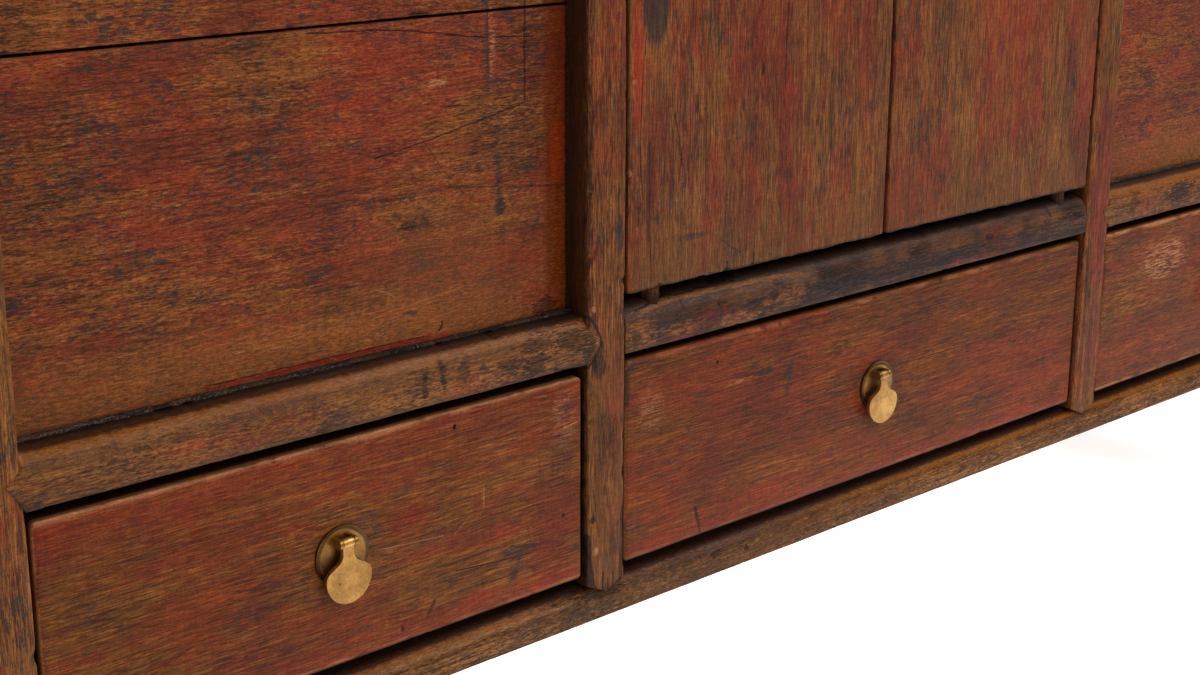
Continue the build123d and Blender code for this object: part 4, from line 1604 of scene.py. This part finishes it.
FRAME_RAIL = AgedLacquer(Axis.X, light=shade(148, 93, 43), middle=shade(118, 71, 33), dark=shade(66, 41, 24),
                         red_level=0.58, slate_level=0.72, slate_share=0.8, arris_share=0.3, coat=0.07,
                         specular=0.08, gloss=0.42)
FRAME_POST = replace(FRAME_RAIL, grain=Axis.Z, red_level=0.56, run=36.0, coat=0.06, specular=0.06)
BARE_ELM = AgedLacquer(Axis.X, light=shade(168, 128, 88), middle=shade(146, 104, 68), dark=shade(98, 66, 44),
                       red_share=0.0, slate_level=0.8, slate_share=0.4, arris_share=0.2, gloss=0.6,
                       relief=0.2,
                       board_swing=0.16)
TOP_RAIL = replace(FRAME_RAIL, seed=40.0)
# Dark crust of dirt; its pale grey rubbed spots are painted glints.
DIRT_AND_GLINTS = replace(FRAME_RAIL, light=shade(128, 112, 102), middle=shade(40, 31, 27), dark=shade(14, 10, 9),
                   red=shade(90, 24, 18), red_level=0.62, relief=1.6, coat=0.15, run=2.0, rubbed_and_glint_share=0.95,
                   slate=shade(20, 17, 16), grit=0.4, seed=23.0)
PIVOT_WOOD = replace(BARE_ELM, grain=Axis.Z, light=shade(104, 62, 26), middle=shade(70, 38, 15),
                     dark=shade(34, 20, 11), run=6.0, seed=7.0,
                     marks=(Fade(Tint.BLACK, Axis.Z, 392, 386, 0.65),))
PLATE_BRASS = Brass(bright=shade(152, 110, 58), brown=shade(108, 74, 40))
PULL_BRASS = Brass(seed=1.0)

BOTTOM_RAIL = replace(FRAME_RAIL, seed=7.0, light=shade(142, 94, 50), middle=shade(100, 63, 33),
                      dark=shade(44, 31, 21), red_level=0.66, coat=0.04, specular=0.04, marks=(
    # Gold band along the upper nose: painted reflection.
    Fade(Tint.GOLD, Axis.Z, 179.5, 182.5, 0.8, ragged=1.4),
    # Grey and mauve band along the nose: painted highlight.
    Patch(Tint.SLATE, (-180, 182), (112, 5), 0.7, soft=0.3, ragged=1.0),
    Patch(Tint.MAUVE_HIGHLIGHT, (-190, 182), (100, 3), 0.3, soft=0.3, ragged=1.8, speckle=0.4),
    Patch(Tint.UMBER, (-170, 174), (116, 14), 0.25, soft=0.4, ragged=1.2),
    Patch(Tint.OLIVE, (-170, 171), (116, 12), 0.5, soft=0.3, ragged=1.8, speckle=0.3),
    Patch(Tint.SLATE, (-230, 176), (46, 8), 0.5, soft=0.3, ragged=2.6, speckle=0.6),
    Patch(Tint.SLATE, (-346, 172), (38, 10), 0.5, soft=0.3, ragged=2.4, speckle=0.6),
    # Pale line along the nose: painted highlight.
    Stroke(Tint.PALE, 2.4, ((-600, 179.6), (-470, 180.2), (-380, 180.4), (-330, 179.0)), 0.45, ragged=2.0,
           speckle=0.5),
    Stroke(Tint.BLACK, 1.4, ((-520, 176.4), (-440, 175.0), (-420, 177.6)), 0.7, ragged=2.4, speckle=0.7),
    Stroke(Tint.BLACK, 1.2, ((-500, 170.4), (-416, 168.6)), 0.7, ragged=2.4, speckle=0.7),
    Stroke(Tint.BLACK, 1.2, ((-470, 165.4), (-396, 164.0)), 0.6, ragged=2.4, speckle=0.7),
    Stroke(Tint.BLACK, 1.4, ((-404, 178.0), (-366, 174.6)), 0.7, ragged=2.4, speckle=0.7),
    Patch(Tint.BLACK, (-184, 176.5), (6, 3), 0.7, ragged=2.0),
    Patch(Tint.BLACK, (-151.5, 172.5), (2.6, 2.4), 0.95, ragged=1.0),
    Patch(Tint.TAN, (-311, 176.5), (4, 4), 0.6, ragged=2.4, speckle=0.9),
    Patch(Tint.BLACK, (-301, 182), (22, 6), 0.8, ragged=1.4),
    Patch(Tint.BLACK, (-334, 184.5), (22, 3.6), 0.75, ragged=1.6),
    Patch(Tint.SLATE, (-306, 172), (26, 8), 0.55, ragged=2.4, speckle=0.5),
    # Painted shadow of the drawers on the top, darker further back.
    Fade(Tint.UMBER, Axis.Y, -266, -263, 0.9, ragged=1.3),
    Fade(Tint.BLACK, Axis.Y, -262.5, -258.5, 0.85, ragged=1.3),
    Fade(Tint.BLACK, Axis.Z, 166, 159, 0.5, ragged=1.6),
))
MID_RAIL_LEFT = replace(FRAME_RAIL, seed=1.0, marks=(
    Fade(Tint.OLIVE, Axis.Z, 368, 374, 0.35, ragged=1.6),
    # Gold band along the upper nose: painted reflection of the panel above.
    Fade(Tint.GOLD, Axis.Z, 378, 381, 0.8, ragged=1.3),
    # Top darker further back: dark dirt in the flat, and painted shade.
    Fade(Tint.UMBER, Axis.Y, -264.6, -261.4, 0.9, ragged=1.2),
    Fade(Tint.BLACK, Axis.Y, -259.5, -256, 0.85, ragged=1.2),
    Patch(Tint.BLACK, (-340, 386), (30, 4), 0.6, ragged=2.0),
    Fade(Tint.BLACK, Axis.Z, 357, 353, 0.6, ragged=1.4),
    Stroke(Tint.BLACK, 5.0, ((-454.3, 374), (-455.6, 361.2)), 0.85, ragged=2.0, speckle=0.4),
    Stroke(Tint.BLACK, 5.0, ((-441, 377.8), (-440.2, 363.7)), 0.85, ragged=2.0, speckle=0.4),
    Patch(Tint.BLACK, (-423.6, 369.3), (5, 6), 0.7),
    Patch(Tint.BLACK, (-407.3, 368.4), (4, 4), 0.6),
    Patch(Tint.BLACK, (-386.6, 366), (11, 6), 0.7, ragged=2.6),
    Patch(Tint.BLACK, (-363.2, 363), (12, 8), 0.85, ragged=2.6),
    Patch(Tint.BLACK, (-360, 375), (15, 6), 0.7, ragged=2.6),
    Patch(Tint.BLACK, (-327, 372), (19, 8), 0.85, ragged=2.8),
    Patch(Tint.BLACK, (-311, 358), (9, 10), 0.9, ragged=2.2),
    Stroke(Tint.BLACK, 4.0, ((-345, 354), (-306, 353)), 0.8, ragged=1.4),
    Patch(Tint.TAN, (-306.5, 368.5), (2.2, 5), 0.7, speckle=0.9),
))
MID_RAIL_CENTRE = replace(FRAME_RAIL, seed=2.0, light=shade(88, 57, 39), middle=shade(48, 31, 25),
                          dark=shade(28, 20, 18), red_level=0.62, coat=0.05, marks=(
    # Painted shade under the door on the top.
    Fade(Tint.UMBER, Axis.Y, -264.6, -260.4, 0.85, ragged=1.2),
    # Mauve line along the nose: painted highlight.
    Stroke(Tint.MAUVE_HIGHLIGHT, 4.0, ((-276, 377), (-200, 377.6), (-90, 377)), 0.35, soft=0.3, ragged=2.6,
           speckle=0.6),
    Patch(Tint.UMBER, (-216, 366), (54, 12), 0.6, soft=0.5),
    Patch(Tint.SLATE, (-252, 369), (34, 12), 0.65, ragged=2.4, speckle=0.3),
    # Grey on the upper nose: painted highlight.
    Fade(Tint.SLATE, Axis.Z, 379, 385, 0.4, ragged=2.0),
    Stroke(Tint.GOLD, 3.0, ((-262, 379.5), (-234.8, 382.5), (-179.5, 382.3), (-131, 380.8), (-96, 379.1)),
           0.85,
           ragged=2.4, speckle=0.5),
    Stroke(Tint.CRACK, 1.1, ((-268, 381), (-232.5, 386), (-225.8, 384), (-160.7, 386.5)), 0.85),
    Patch(Tint.HONEY, (-268, 364), (14, 13), 1.0, ragged=3.0, speckle=0.8),
    Patch(Tint.BLACK, (-270, 361), (5, 7), 0.8, ragged=3.0, speckle=0.8),
    Patch(Tint.HONEY, (-228, 361), (20, 5), 0.7, ragged=2.8, speckle=0.9),
    Patch(Tint.HONEY, (-166, 358), (21, 5), 0.8, ragged=2.4, speckle=0.8),
    Patch(Tint.HONEY, (-118, 364), (26, 8), 0.6, ragged=2.6, speckle=0.9),
    Patch(Tint.BLACK, (-128, 369), (5, 4), 0.9),
    Patch(Tint.BLACK, (-131.5, 360.4), (4, 1.6), 0.8),
    Patch(Tint.BLACK, (-141, 354.8), (3.4, 2.2), 0.9),
    Patch(Tint.BLACK, (-211.4, 353), (3.4, 2), 0.9),
    Stroke(Tint.CRACK, 1.0, ((-186, 377), (-185.5, 358)), 0.6),
    Fade(Tint.BLACK, Axis.Z, 356, 352.5, 0.6),
))
MID_RAIL_RIGHT = replace(FRAME_RAIL, seed=12.0, marks=(
    # Gold band along the upper nose: painted reflection of the panel above.
    Fade(Tint.GOLD, Axis.Z, 378, 381, 0.8, ragged=1.3),
    # Top darker further back: dark dirt in the flat, and painted shade.
    Fade(Tint.UMBER, Axis.Y, -264.6, -261.4, 0.9, ragged=1.2),
    Fade(Tint.BLACK, Axis.Y, -259.5, -256, 0.85, ragged=1.2),
    Fade(Tint.BLACK, Axis.Z, 357, 353, 0.6, ragged=1.4),
    Patch(Tint.BLACK, (430, 368), (22, 8), 0.8, ragged=2.8),
    Patch(Tint.BLACK, (600, 371), (16, 6), 0.7, ragged=2.6),
))
STILE_LEFT = AgedLacquer(Axis.Z, light=shade(136, 82, 38), middle=shade(103, 60, 29), dark=shade(50, 32, 20),
                         red_level=0.54, slate_level=0.735, slate_share=0.9, run=40.0, rubbed_and_glint_share=0.16,
                         grit=0.13,
                         seed=4.0, arris_share=0.1, marks=(
    Fade(Tint.BLACK, Axis.X, -312.5, -315.5, 0.75, ragged=2.4, speckle=0.5),
    Fade(Tint.BLACK, Axis.X, -283.5, -281.0, 0.5, ragged=2.0, speckle=0.5),
    Patch(Tint.SLATE, (-286, 438), (3, 14), 0.9, ragged=1.0, speckle=0.2),
    Fade(Tint.OLIVE, Axis.Z, 366, 330, 0.35, ragged=1.8, speckle=0.3),
    Patch(Tint.GOLD, (-298, 240), (14, 80), 0.3, soft=0.5, ragged=2.4, speckle=0.4),
    Patch(Tint.BLACK, (-300, 300), (7, 22), 0.6, soft=0.3, ragged=3.0, speckle=0.8),
    Patch(Tint.BLACK, (-290, 215), (5, 22), 0.5, soft=0.3, ragged=3.0, speckle=0.9),
    Stroke(Tint.BLACK, 3.2, ((-312.6, 600), (-312.8, 500), (-312.4, 390)), 0.8, soft=0.2, ragged=2.6,
           speckle=0.9),
    Patch(Tint.RED, (-309, 556), (4, 26), 0.3, ragged=2.4, speckle=0.6),
    Patch(Tint.BLACK, (-306, 349), (7, 9), 0.85, ragged=1.2),
    Patch(Tint.BLACK, (-303.5, 361), (3, 6), 0.75, ragged=1.2),
    Patch(Tint.SLATE, (-295.7, 402.8), (1.8, 2.2), 0.8),
    Patch(Tint.BLACK, (-303, 262), (8, 28), 0.8, soft=0.3, ragged=2.4, speckle=0.7),
    Patch(Tint.BLACK, (-291, 285), (6, 22), 0.6, ragged=2.2, speckle=0.9),
    Patch(Tint.HONEY, (-297, 256), (8, 24), 0.6, ragged=3.4, speckle=1.0),
    Patch(Tint.PALE, (-310.6, 391), (2.2, 2.2), 0.7),
    Stroke(Tint.BLACK, 9.0, ((-317.5, 224), (-316, 203), (-312, 186)), 0.9, soft=0.06, ragged=0.7,
           speckle=0.2),
    Patch(Tint.TAN, (-308.2, 213.5), (2.4, 3), 0.6, ragged=2.6, speckle=0.8),
    Patch(Tint.BLACK, (-310.9, 238), (2.4, 3), 0.8),
    Patch(Tint.BLACK, (-286.8, 230), (1.6, 2), 0.8),
    Stroke(Tint.CRACK, 1.3, ((-301.5, 196), (-300.5, 177)), 0.9, ragged=1.6),
    Stroke(Tint.CRACK, 1.2, ((-291.4, 193), (-292, 177)), 0.9, ragged=1.6),
    Stroke(Tint.CRACK, 1.1, ((-296.4, 190), (-296, 176)), 0.9, ragged=1.6),
    Fade(Tint.BLACK, Axis.Z, 190, 179, 0.75, ragged=3.2),
    Stroke(Tint.BLACK, 3.4, ((-282.8, 240), (-283.4, 205), (-284.6, 184)), 0.85, soft=0.2, ragged=2.0,
           speckle=0.4),
    Stroke(Tint.BLACK, 2.2, ((-315, 386), (-309, 379), (-304, 369), (-304, 365), (-309, 357), (-315, 350)),
           0.9,
           ragged=1.2, speckle=0.2),
    Patch(Tint.BLACK, (-311, 383), (4, 5), 0.7, ragged=1.4),
    # Sides darkened into the recess: dark stain, and painted shade.
    Fade(Tint.TOBACCO, Axis.Y, -266.8, -264, 0.85, ragged=0.2, speckle=0.1),
    Fade(Tint.BLACK, Axis.Y, -260, -253, 0.42, ragged=1.8),
    Stroke(Tint.CRACK, 1.2, ((-316.2, 196), (-316.2, 349)), 0.85, ragged=0.1, speckle=0.0),
))
STILE_RIGHT = replace(STILE_LEFT, seed=14.0, marks=(
    # Sides darkened into the recess: dark stain, and painted shade.
    Fade(Tint.TOBACCO, Axis.Y, -266.8, -264, 0.85, ragged=0.2, speckle=0.1),
    Fade(Tint.BLACK, Axis.X, 312.5, 315.5, 0.75, ragged=2.4, speckle=0.5),
    Fade(Tint.BLACK, Axis.Z, 186, 180, 0.7, ragged=2.0),
))
PANEL_LEFT = AgedLacquer(Axis.X, light=shade(144, 84, 40), middle=shade(116, 64, 31), seed=8.0,
red_level=0.485,
                         red_share=0.66, slate_share=0.85, soot_share=0.5, rubbed_and_glint_share=0.18, marks=(
    Fade(Tint.HONEY, Axis.Z, 440, 400, 0.4, ragged=1.4),
    Patch(Tint.UMBER, (-372, 420), (26, 26), 0.22, soft=0.5, ragged=2.0),
    Patch(Tint.RED, (-500, 388), (90, 5), 0.7, ragged=2.0),
    Stroke(Tint.CRIMSON, 2.8, ((-600, 392), (-436, 391.4)), 0.85, ragged=1.8, speckle=0.3),
    Stroke(Tint.CRACK, 0.8, ((-600, 392.8), (-440, 392.2)), 0.7, ragged=1.4),
    Patch(Tint.UMBER, (-380, 478), (30, 34), 0.3, soft=0.5, ragged=2.4),
    Patch(Tint.UMBER, (-345, 540), (16, 60), 0.3, soft=0.5),
    Stroke(Tint.HONEY, 1.4, ((-478, 411.8), (-410, 419.3)), 0.8, ragged=1.2, speckle=0.3),
    Patch(Tint.SLATE, (-449, 409.7), (6, 2), 0.8, ragged=1.4),
    Stroke(Tint.CRACK, 1.2, ((-424.3, 399.6), (-424.6, 396.5), (-427.4, 393.8)), 0.95, ragged=0.3,
           speckle=0.0),
    Patch(Tint.CRIMSON, (-346, 404.6), (14, 7), 0.6, ragged=1.8),
    Patch(Tint.RED, (-480, 560), (30, 26), 0.4, soft=0.5),
    Patch(Tint.HONEY, (-410, 440), (60, 34), 0.35, soft=0.5),
    Patch(Tint.CRIMSON, (-352, 432), (20, 24), 0.4, soft=0.5),
    Fade(Tint.AMBER, Axis.X, -341, -332, 0.9, ragged=0.6, speckle=0.2),
    Stroke(Tint.EMBER, 14.0, ((-325, 511), (-325, 486)), 0.85, soft=0.15, ragged=0.9, speckle=0.2),
    Stroke(Tint.CRIMSON, 3.4, ((-320.6, 596), (-320.4, 526)), 0.95, ragged=1.8, speckle=0.5),
    Stroke(Tint.CRIMSON, 1.8, ((-318.8, 526), (-318.8, 478)), 0.8, ragged=1.2, speckle=0.4),
    Stroke(Tint.EMBER, 3.6, ((-321.5, 470), (-323.5, 404)), 0.6, ragged=2.2, speckle=0.8),
    Patch(Tint.EMBER, (-325.4, 399), (7, 8), 0.9, ragged=2.8, speckle=1.0),
    Patch(Tint.UMBER, (-337, 394), (10, 7), 0.8, ragged=2.0),
    Patch(Tint.BLACK, (-330, 386.5), (17, 3.4), 0.9, ragged=2.4),
    Stroke(Tint.BLACK, 1.2, ((-420, 487), (-352, 478.6), (-318, 474.6)), 0.6, ragged=1.8),
    Stroke(Tint.BLACK, 2.6, ((-317.2, 600), (-317.2, 384)), 0.95, ragged=0.9, speckle=0.1),
    Stroke(Tint.CRACK, 1.0,
           ((-520, 592), (-471.4, 590.1), (-436.1, 586.3), (-389.6, 578.8), (-346.5, 575.9)), 0.9),
    Stroke(Tint.CRACK, 0.9, ((-474.2, 511.9), (-427.7, 519.4), (-376.4, 529.5), (-357.9, 532.7)), 0.85),
    Stroke(Tint.CRACK, 0.6, ((-423.3, 539), (-365.5, 533.2)), 0.7),
    Stroke(Tint.CRACK, 0.6, ((-438, 521), (-420, 496), (-404, 480)), 0.5),
    Stroke(Tint.BLACK, 1.6, ((-353, 600), (-353.6, 535.5)), 0.85, ragged=0.9),
    Stroke(Tint.SLATE, 1.4, ((-384, 598), (-384, 556)), 0.8, ragged=1.6),
    Patch(Tint.TAN, (-381, 572), (2.6, 19), 0.5, ragged=3.6, speckle=1.0),
    Patch(Tint.SLATE, (-385, 566), (2.4, 20), 0.7, ragged=3.0, speckle=0.8),
    Stroke(Tint.SLATE, 5.5, ((-377, 503), (-375.4, 486), (-375, 464)), 0.9, ragged=3.0, speckle=0.5),
    Patch(Tint.SLATE, (-375.5, 467), (5, 4), 0.9),
    Patch(Tint.SLATE, (-373.5, 449), (3, 7), 0.7, ragged=3.2, speckle=0.8),
    Patch(Tint.TAN, (-425.3, 553.6), (6, 2.2), 0.75, ragged=2.8, speckle=0.8),
    Patch(Tint.BLACK, (-450.4, 466.4), (7, 3), 0.9, ragged=1.0),
    Patch(Tint.SLATE, (-437, 466.4), (4, 2.5), 0.8),
    Stroke(Tint.PALE, 0.9, ((-476.4, 429.6), (-467, 426), (-461.9, 422.5)), 0.6),
))
PANEL_RIGHT = replace(PANEL_LEFT, seed=18.0, marks=(
    Fade(Tint.HONEY, Axis.Z, 440, 400, 0.4, ragged=1.2),
    Fade(Tint.AMBER, Axis.X, 345, 334, 0.85, ragged=0.4),
    Patch(Tint.EMBER, (325, 490), (10, 42), 0.9, soft=0.35, ragged=0.8, speckle=0.0),
))
END_PANEL = AgedLacquer(Axis.Z, run=30.0, seed=9.0)
BARE_BACK = Fade(Tint.BARE, Axis.Y, -251, -248.5, 0.62, ragged=1.6, speckle=0.3)
DOOR_LEFT = AgedLacquer(Axis.Z, light=shade(132, 82, 41), middle=shade(112, 67, 35), dark=shade(64, 40, 26),
                        red_level=0.5, run=40.0, seed=10.0, arris_share=0.1, rubbed_and_glint_share=0.12, marks=(
    Patch(Tint.HONEY, (-262, 560), (14, 40), 0.4, soft=0.4, ragged=2.0),
    Patch(Tint.RED, (-270, 556), (5, 40), 0.8, soft=0.3, ragged=1.8, speckle=0.2),
    Patch(Tint.RED, (-140, 560), (34, 60), 0.25, soft=0.5),
    Patch(Tint.UMBER, (-130, 520), (34, 90), 0.32, soft=0.5, ragged=1.6),
    Patch(Tint.UMBER, (-176, 500), (12, 50), 0.22, soft=0.5, ragged=2.0),
    Patch(Tint.SLATE, (-253.5, 592), (13, 28), 0.9, soft=0.1, ragged=0.6, speckle=0.15),
    Stroke(Tint.CRACK, 0.8, ((-262.9, 573.2), (-266.9, 533.4), (-266.7, 479.5), (-263.8, 459.6)), 0.7),
    Stroke(Tint.BLACK, 1.8, ((-234.9, 515), (-230, 498), (-227.3, 479.2)), 0.7, ragged=1.4),
    Stroke(Tint.BLACK, 1.3, ((-258.5, 498.4), (-257.4, 440), (-255.4, 393)), 0.85, ragged=0.8),
    Stroke(Tint.CRACK, 1.0, ((-181.8, 600), (-181.1, 568.6)), 0.8),
    Stroke(Tint.CRACK, 0.8, ((-121.7, 600), (-123.1, 523.7)), 0.7),
    Stroke(Tint.CRACK, 0.7, ((-203, 560), (-204, 470)), 0.5),
    Patch(Tint.BLACK, (-147.1, 538.3), (1.6, 4.5), 0.95, ragged=0.4),
    Patch(Tint.BLACK, (-213, 520), (1.8, 8), 0.8, ragged=0.8),
    Patch(Tint.BLACK, (-166, 515), (1.6, 6), 0.8, ragged=0.8),
    Patch(Tint.PALE, (-273.2, 541.4), (1.8, 1.8), 0.6),
    Patch(Tint.PALE, (-276.1, 479.3), (1.8, 1.8), 0.6),
    Stroke(Tint.BLACK, 1.8, ((-268.7, 454.8), (-268.8, 442.2)), 0.9),
    Fade(Tint.OLIVE, Axis.Z, 460, 396, 0.4, ragged=1.2),
    Patch(Tint.SLATE, (-215, 426.5), (16, 2.5), 0.7, ragged=2.0),
    Stroke(Tint.BLACK, 1.8, ((-179, 402), (-178.1, 394)), 0.85),
    Stroke(Tint.BLACK, 1.8, ((-151.6, 404.5), (-150.8, 394)), 0.85),
    Stroke(Tint.CRACK, 0.7, ((-185, 419), (-165, 406.5)), 0.7),
    Fade(Tint.BLACK, Axis.Z, 398, 395.2, 0.8, ragged=1.6),
    BARE_BACK,
))
DOOR_RIGHT = replace(DOOR_LEFT, seed=20.0, marks=(
    Fade(Tint.OLIVE, Axis.Z, 460, 396, 0.4, ragged=1.2),
    Patch(Tint.RED, (150, 560), (40, 70), 0.45, soft=0.5),
    Fade(Tint.BLACK, Axis.Z, 398, 395.2, 0.8, ragged=1.6),
    BARE_BACK,
))
# Edges of the drawer fronts: a painted lit olive band at the front of the top, painted shade on the top and
# ends in the gaps behind it, and darker along the bottom edge.
DRAWER_EDGE_LIGHT_AND_SHADE = (
    Fade(Tint.OLIVE, Axis.Y, -266.0, -265.0, 0.7, ragged=0.2),
    Fade(Tint.UMBER, Axis.Y, -263.4, -260.6, 0.9, ragged=0.4),
    Fade(Tint.UMBER, Axis.Z, 198.5, 196.5, 0.8),
)
DRAWER_LEFT = AgedLacquer(Axis.X, light=shade(132, 78, 32), middle=shade(102, 58, 24),
dark=shade(58, 36, 22),
                          red=shade(134, 46, 22), deep_red=shade(104, 36, 22), red_level=0.5, red_share=0.6,
                          slate_level=0.76, run=38.0, arris_share=0.75, rubbed_and_glint_share=0.25,
                          arris=shade(190, 126, 80), seed=11.0, marks=(
    Fade(Tint.RED, Axis.Z, 290, 345, 0.3, ragged=1.4),
    Patch(Tint.UMBER, (-344, 262), (15, 60), 0.35, soft=0.5),
    Patch(Tint.UMBER, (-395, 330), (50, 12), 0.3, soft=0.5),
    Patch(Tint.CRIMSON, (-465.7, 281), (16, 10), 0.8, soft=0.4),
    Patch(Tint.RED, (-392, 250), (14, 7), 0.4, soft=0.4, ragged=2.6),
    Patch(Tint.RED, (-411, 209), (18, 4), 0.55, soft=0.3, ragged=2.4, speckle=0.4),
    Patch(Tint.CRIMSON, (-350, 225), (16, 16), 0.5, soft=0.5),
    Stroke(Tint.CRACK, 0.9, ((-431.6, 233.3), (-399, 230), (-365.6, 227.6)), 0.85),
    Patch(Tint.SLATE, (-376, 233), (14, 4), 0.9, ragged=1.4),
    Stroke(Tint.SLATE, 4.0, ((-376.3, 226), (-381.8, 215)), 0.7, ragged=1.4),
    Patch(Tint.CRACK, (-429.8, 333.2), (1.3, 1.8), 1.0, ragged=0.2, speckle=0.0),
    Patch(Tint.CRACK, (-475.2, 205.2), (1.3, 1.8), 1.0, ragged=0.2, speckle=0.0),
    Patch(Tint.CRACK, (-333.7, 322.7), (1.8, 1.4), 1.0, ragged=0.2),
    Patch(Tint.CRACK, (-336.3, 247.7), (1.6, 1.6), 1.0, ragged=0.2),
    Stroke(Tint.BLACK, 2.6, ((-448.7, 217), (-455.5, 207.6)), 0.7, ragged=1.0),
    Stroke(Tint.TAN, 1.4, ((-406, 285.5), (-406.2, 272.3)), 0.5, ragged=2.4, speckle=0.7),
    Stroke(Tint.TAN, 0.9, ((-431, 259.4), (-419, 267.5)), 0.4, ragged=2.0, speckle=0.6),
    Stroke(Tint.PALE, 0.7, ((-495.4, 265.3), (-441, 260.7)), 0.5),
    Patch(Tint.TAN, (-335, 318), (11, 20), 0.3, ragged=2.8, speckle=1.0),
    Stroke(Tint.TAN, 0.9, ((-343.7, 331.9), (-330.4, 330.7)), 0.55, ragged=2.2, speckle=0.6),
    Stroke(Tint.TAN, 0.8, ((-362, 338.2), (-351, 337.3)), 0.5, ragged=2.2, speckle=0.6),
    Stroke(Tint.TAN, 0.9, ((-336, 311.2), (-323, 312.4)), 0.7, ragged=2.0, speckle=0.6),
    Stroke(Tint.TAN, 0.8, ((-334, 304.8), (-324, 305.4)), 0.7, ragged=2.0, speckle=0.6),
    Patch(Tint.SLATE, (-331, 326), (9, 3), 0.6, ragged=3.0, speckle=0.7),
    Patch(Tint.SLATE, (-334, 292), (7, 14), 0.35, soft=0.4, ragged=2.6),
    Fade(Tint.RED, Axis.Z, 216, 202, 0.3, ragged=2.4),
    # Pale band along the top arris: bare worn wood, and painted highlight.
    Fade(Tint.TAN, Axis.Z, 342.2, 343.6, 0.6, ragged=0.4, speckle=0.3),
    *DRAWER_EDGE_LIGHT_AND_SHADE,
))
DRAWER_CENTRE = replace(DRAWER_LEFT, seed=13.0, light=shade(128, 70, 27), middle=shade(98, 51, 20),
                        red_level=0.475, arris_share=0.35, marks=(
    Patch(Tint.UMBER, (-150, 275), (46, 26), 0.3, soft=0.5),
    Stroke(Tint.SLATE, 4.5, ((-275.6, 316), (-275.2, 338), (-269.8, 343.5), (-250, 344.5)), 0.75,
           ragged=1.6),
    Stroke(Tint.RED, 2.4, ((-268, 345), (-214, 345.2), (-68, 344.6)), 0.5, ragged=1.6, speckle=0.3),
    Patch(Tint.CRACK, (-185.2, 327.4), (1.3, 1.3), 1.0, ragged=0.2, speckle=0.0),
    Patch(Tint.SLATE, (-134, 309.8), (9, 3), 0.9),
    Stroke(Tint.SLATE, 4.0, ((-110.2, 301.4), (-103, 310.7)), 0.8, ragged=1.8),
    Stroke(Tint.SLATE, 4.5, ((-104, 306), (-107.1, 289.9)), 0.8, ragged=1.8),
    Patch(Tint.TAN, (-165.4, 308.5), (10, 3), 0.45, ragged=2.2, speckle=1.0),
    Stroke(Tint.BLACK, 3.4, ((-205.8, 218.8), (-200.1, 199.8)), 0.9, ragged=1.4),
    Patch(Tint.TAN, (-252, 306), (12, 16), 0.3, ragged=2.6, speckle=1.0),
    Patch(Tint.RED, (-240, 225), (24, 10), 0.3, soft=0.4, ragged=2.4),
    Patch(Tint.RED, (-130, 216), (46, 5), 0.4, soft=0.3, ragged=2.6, speckle=0.4),
    Fade(Tint.RED, Axis.Z, 214, 202, 0.2, ragged=2.4),
    *DRAWER_EDGE_LIGHT_AND_SHADE,
))
DRAWER_RIGHT = replace(DRAWER_LEFT, seed=17.0, marks=(
    Patch(Tint.TAN, (420, 306), (40, 18), 0.6, ragged=1.6, speckle=1.0),
    Patch(Tint.CRIMSON, (560, 270), (60, 30), 0.5, soft=0.5),
    # Pale band along the top arris: bare worn wood, and painted highlight.
    Fade(Tint.TAN, Axis.Z, 342.2, 343.6, 0.6, ragged=0.4, speckle=0.3),
    *DRAWER_EDGE_LIGHT_AND_SHADE,
))


def main() -> None:
    """Build and dress the cabinet, part by part."""
    logging.basicConfig(level=logging.INFO, format="%(name)s: %(message)s")
    Studio().build()
    for part in (FrontFrame(), Panels(), Doors(), Drawers(), PlainParts()):
        part.build()
        LOG.info("finished %s", type(part).__name__)


if __name__ == "__main__":
    main()
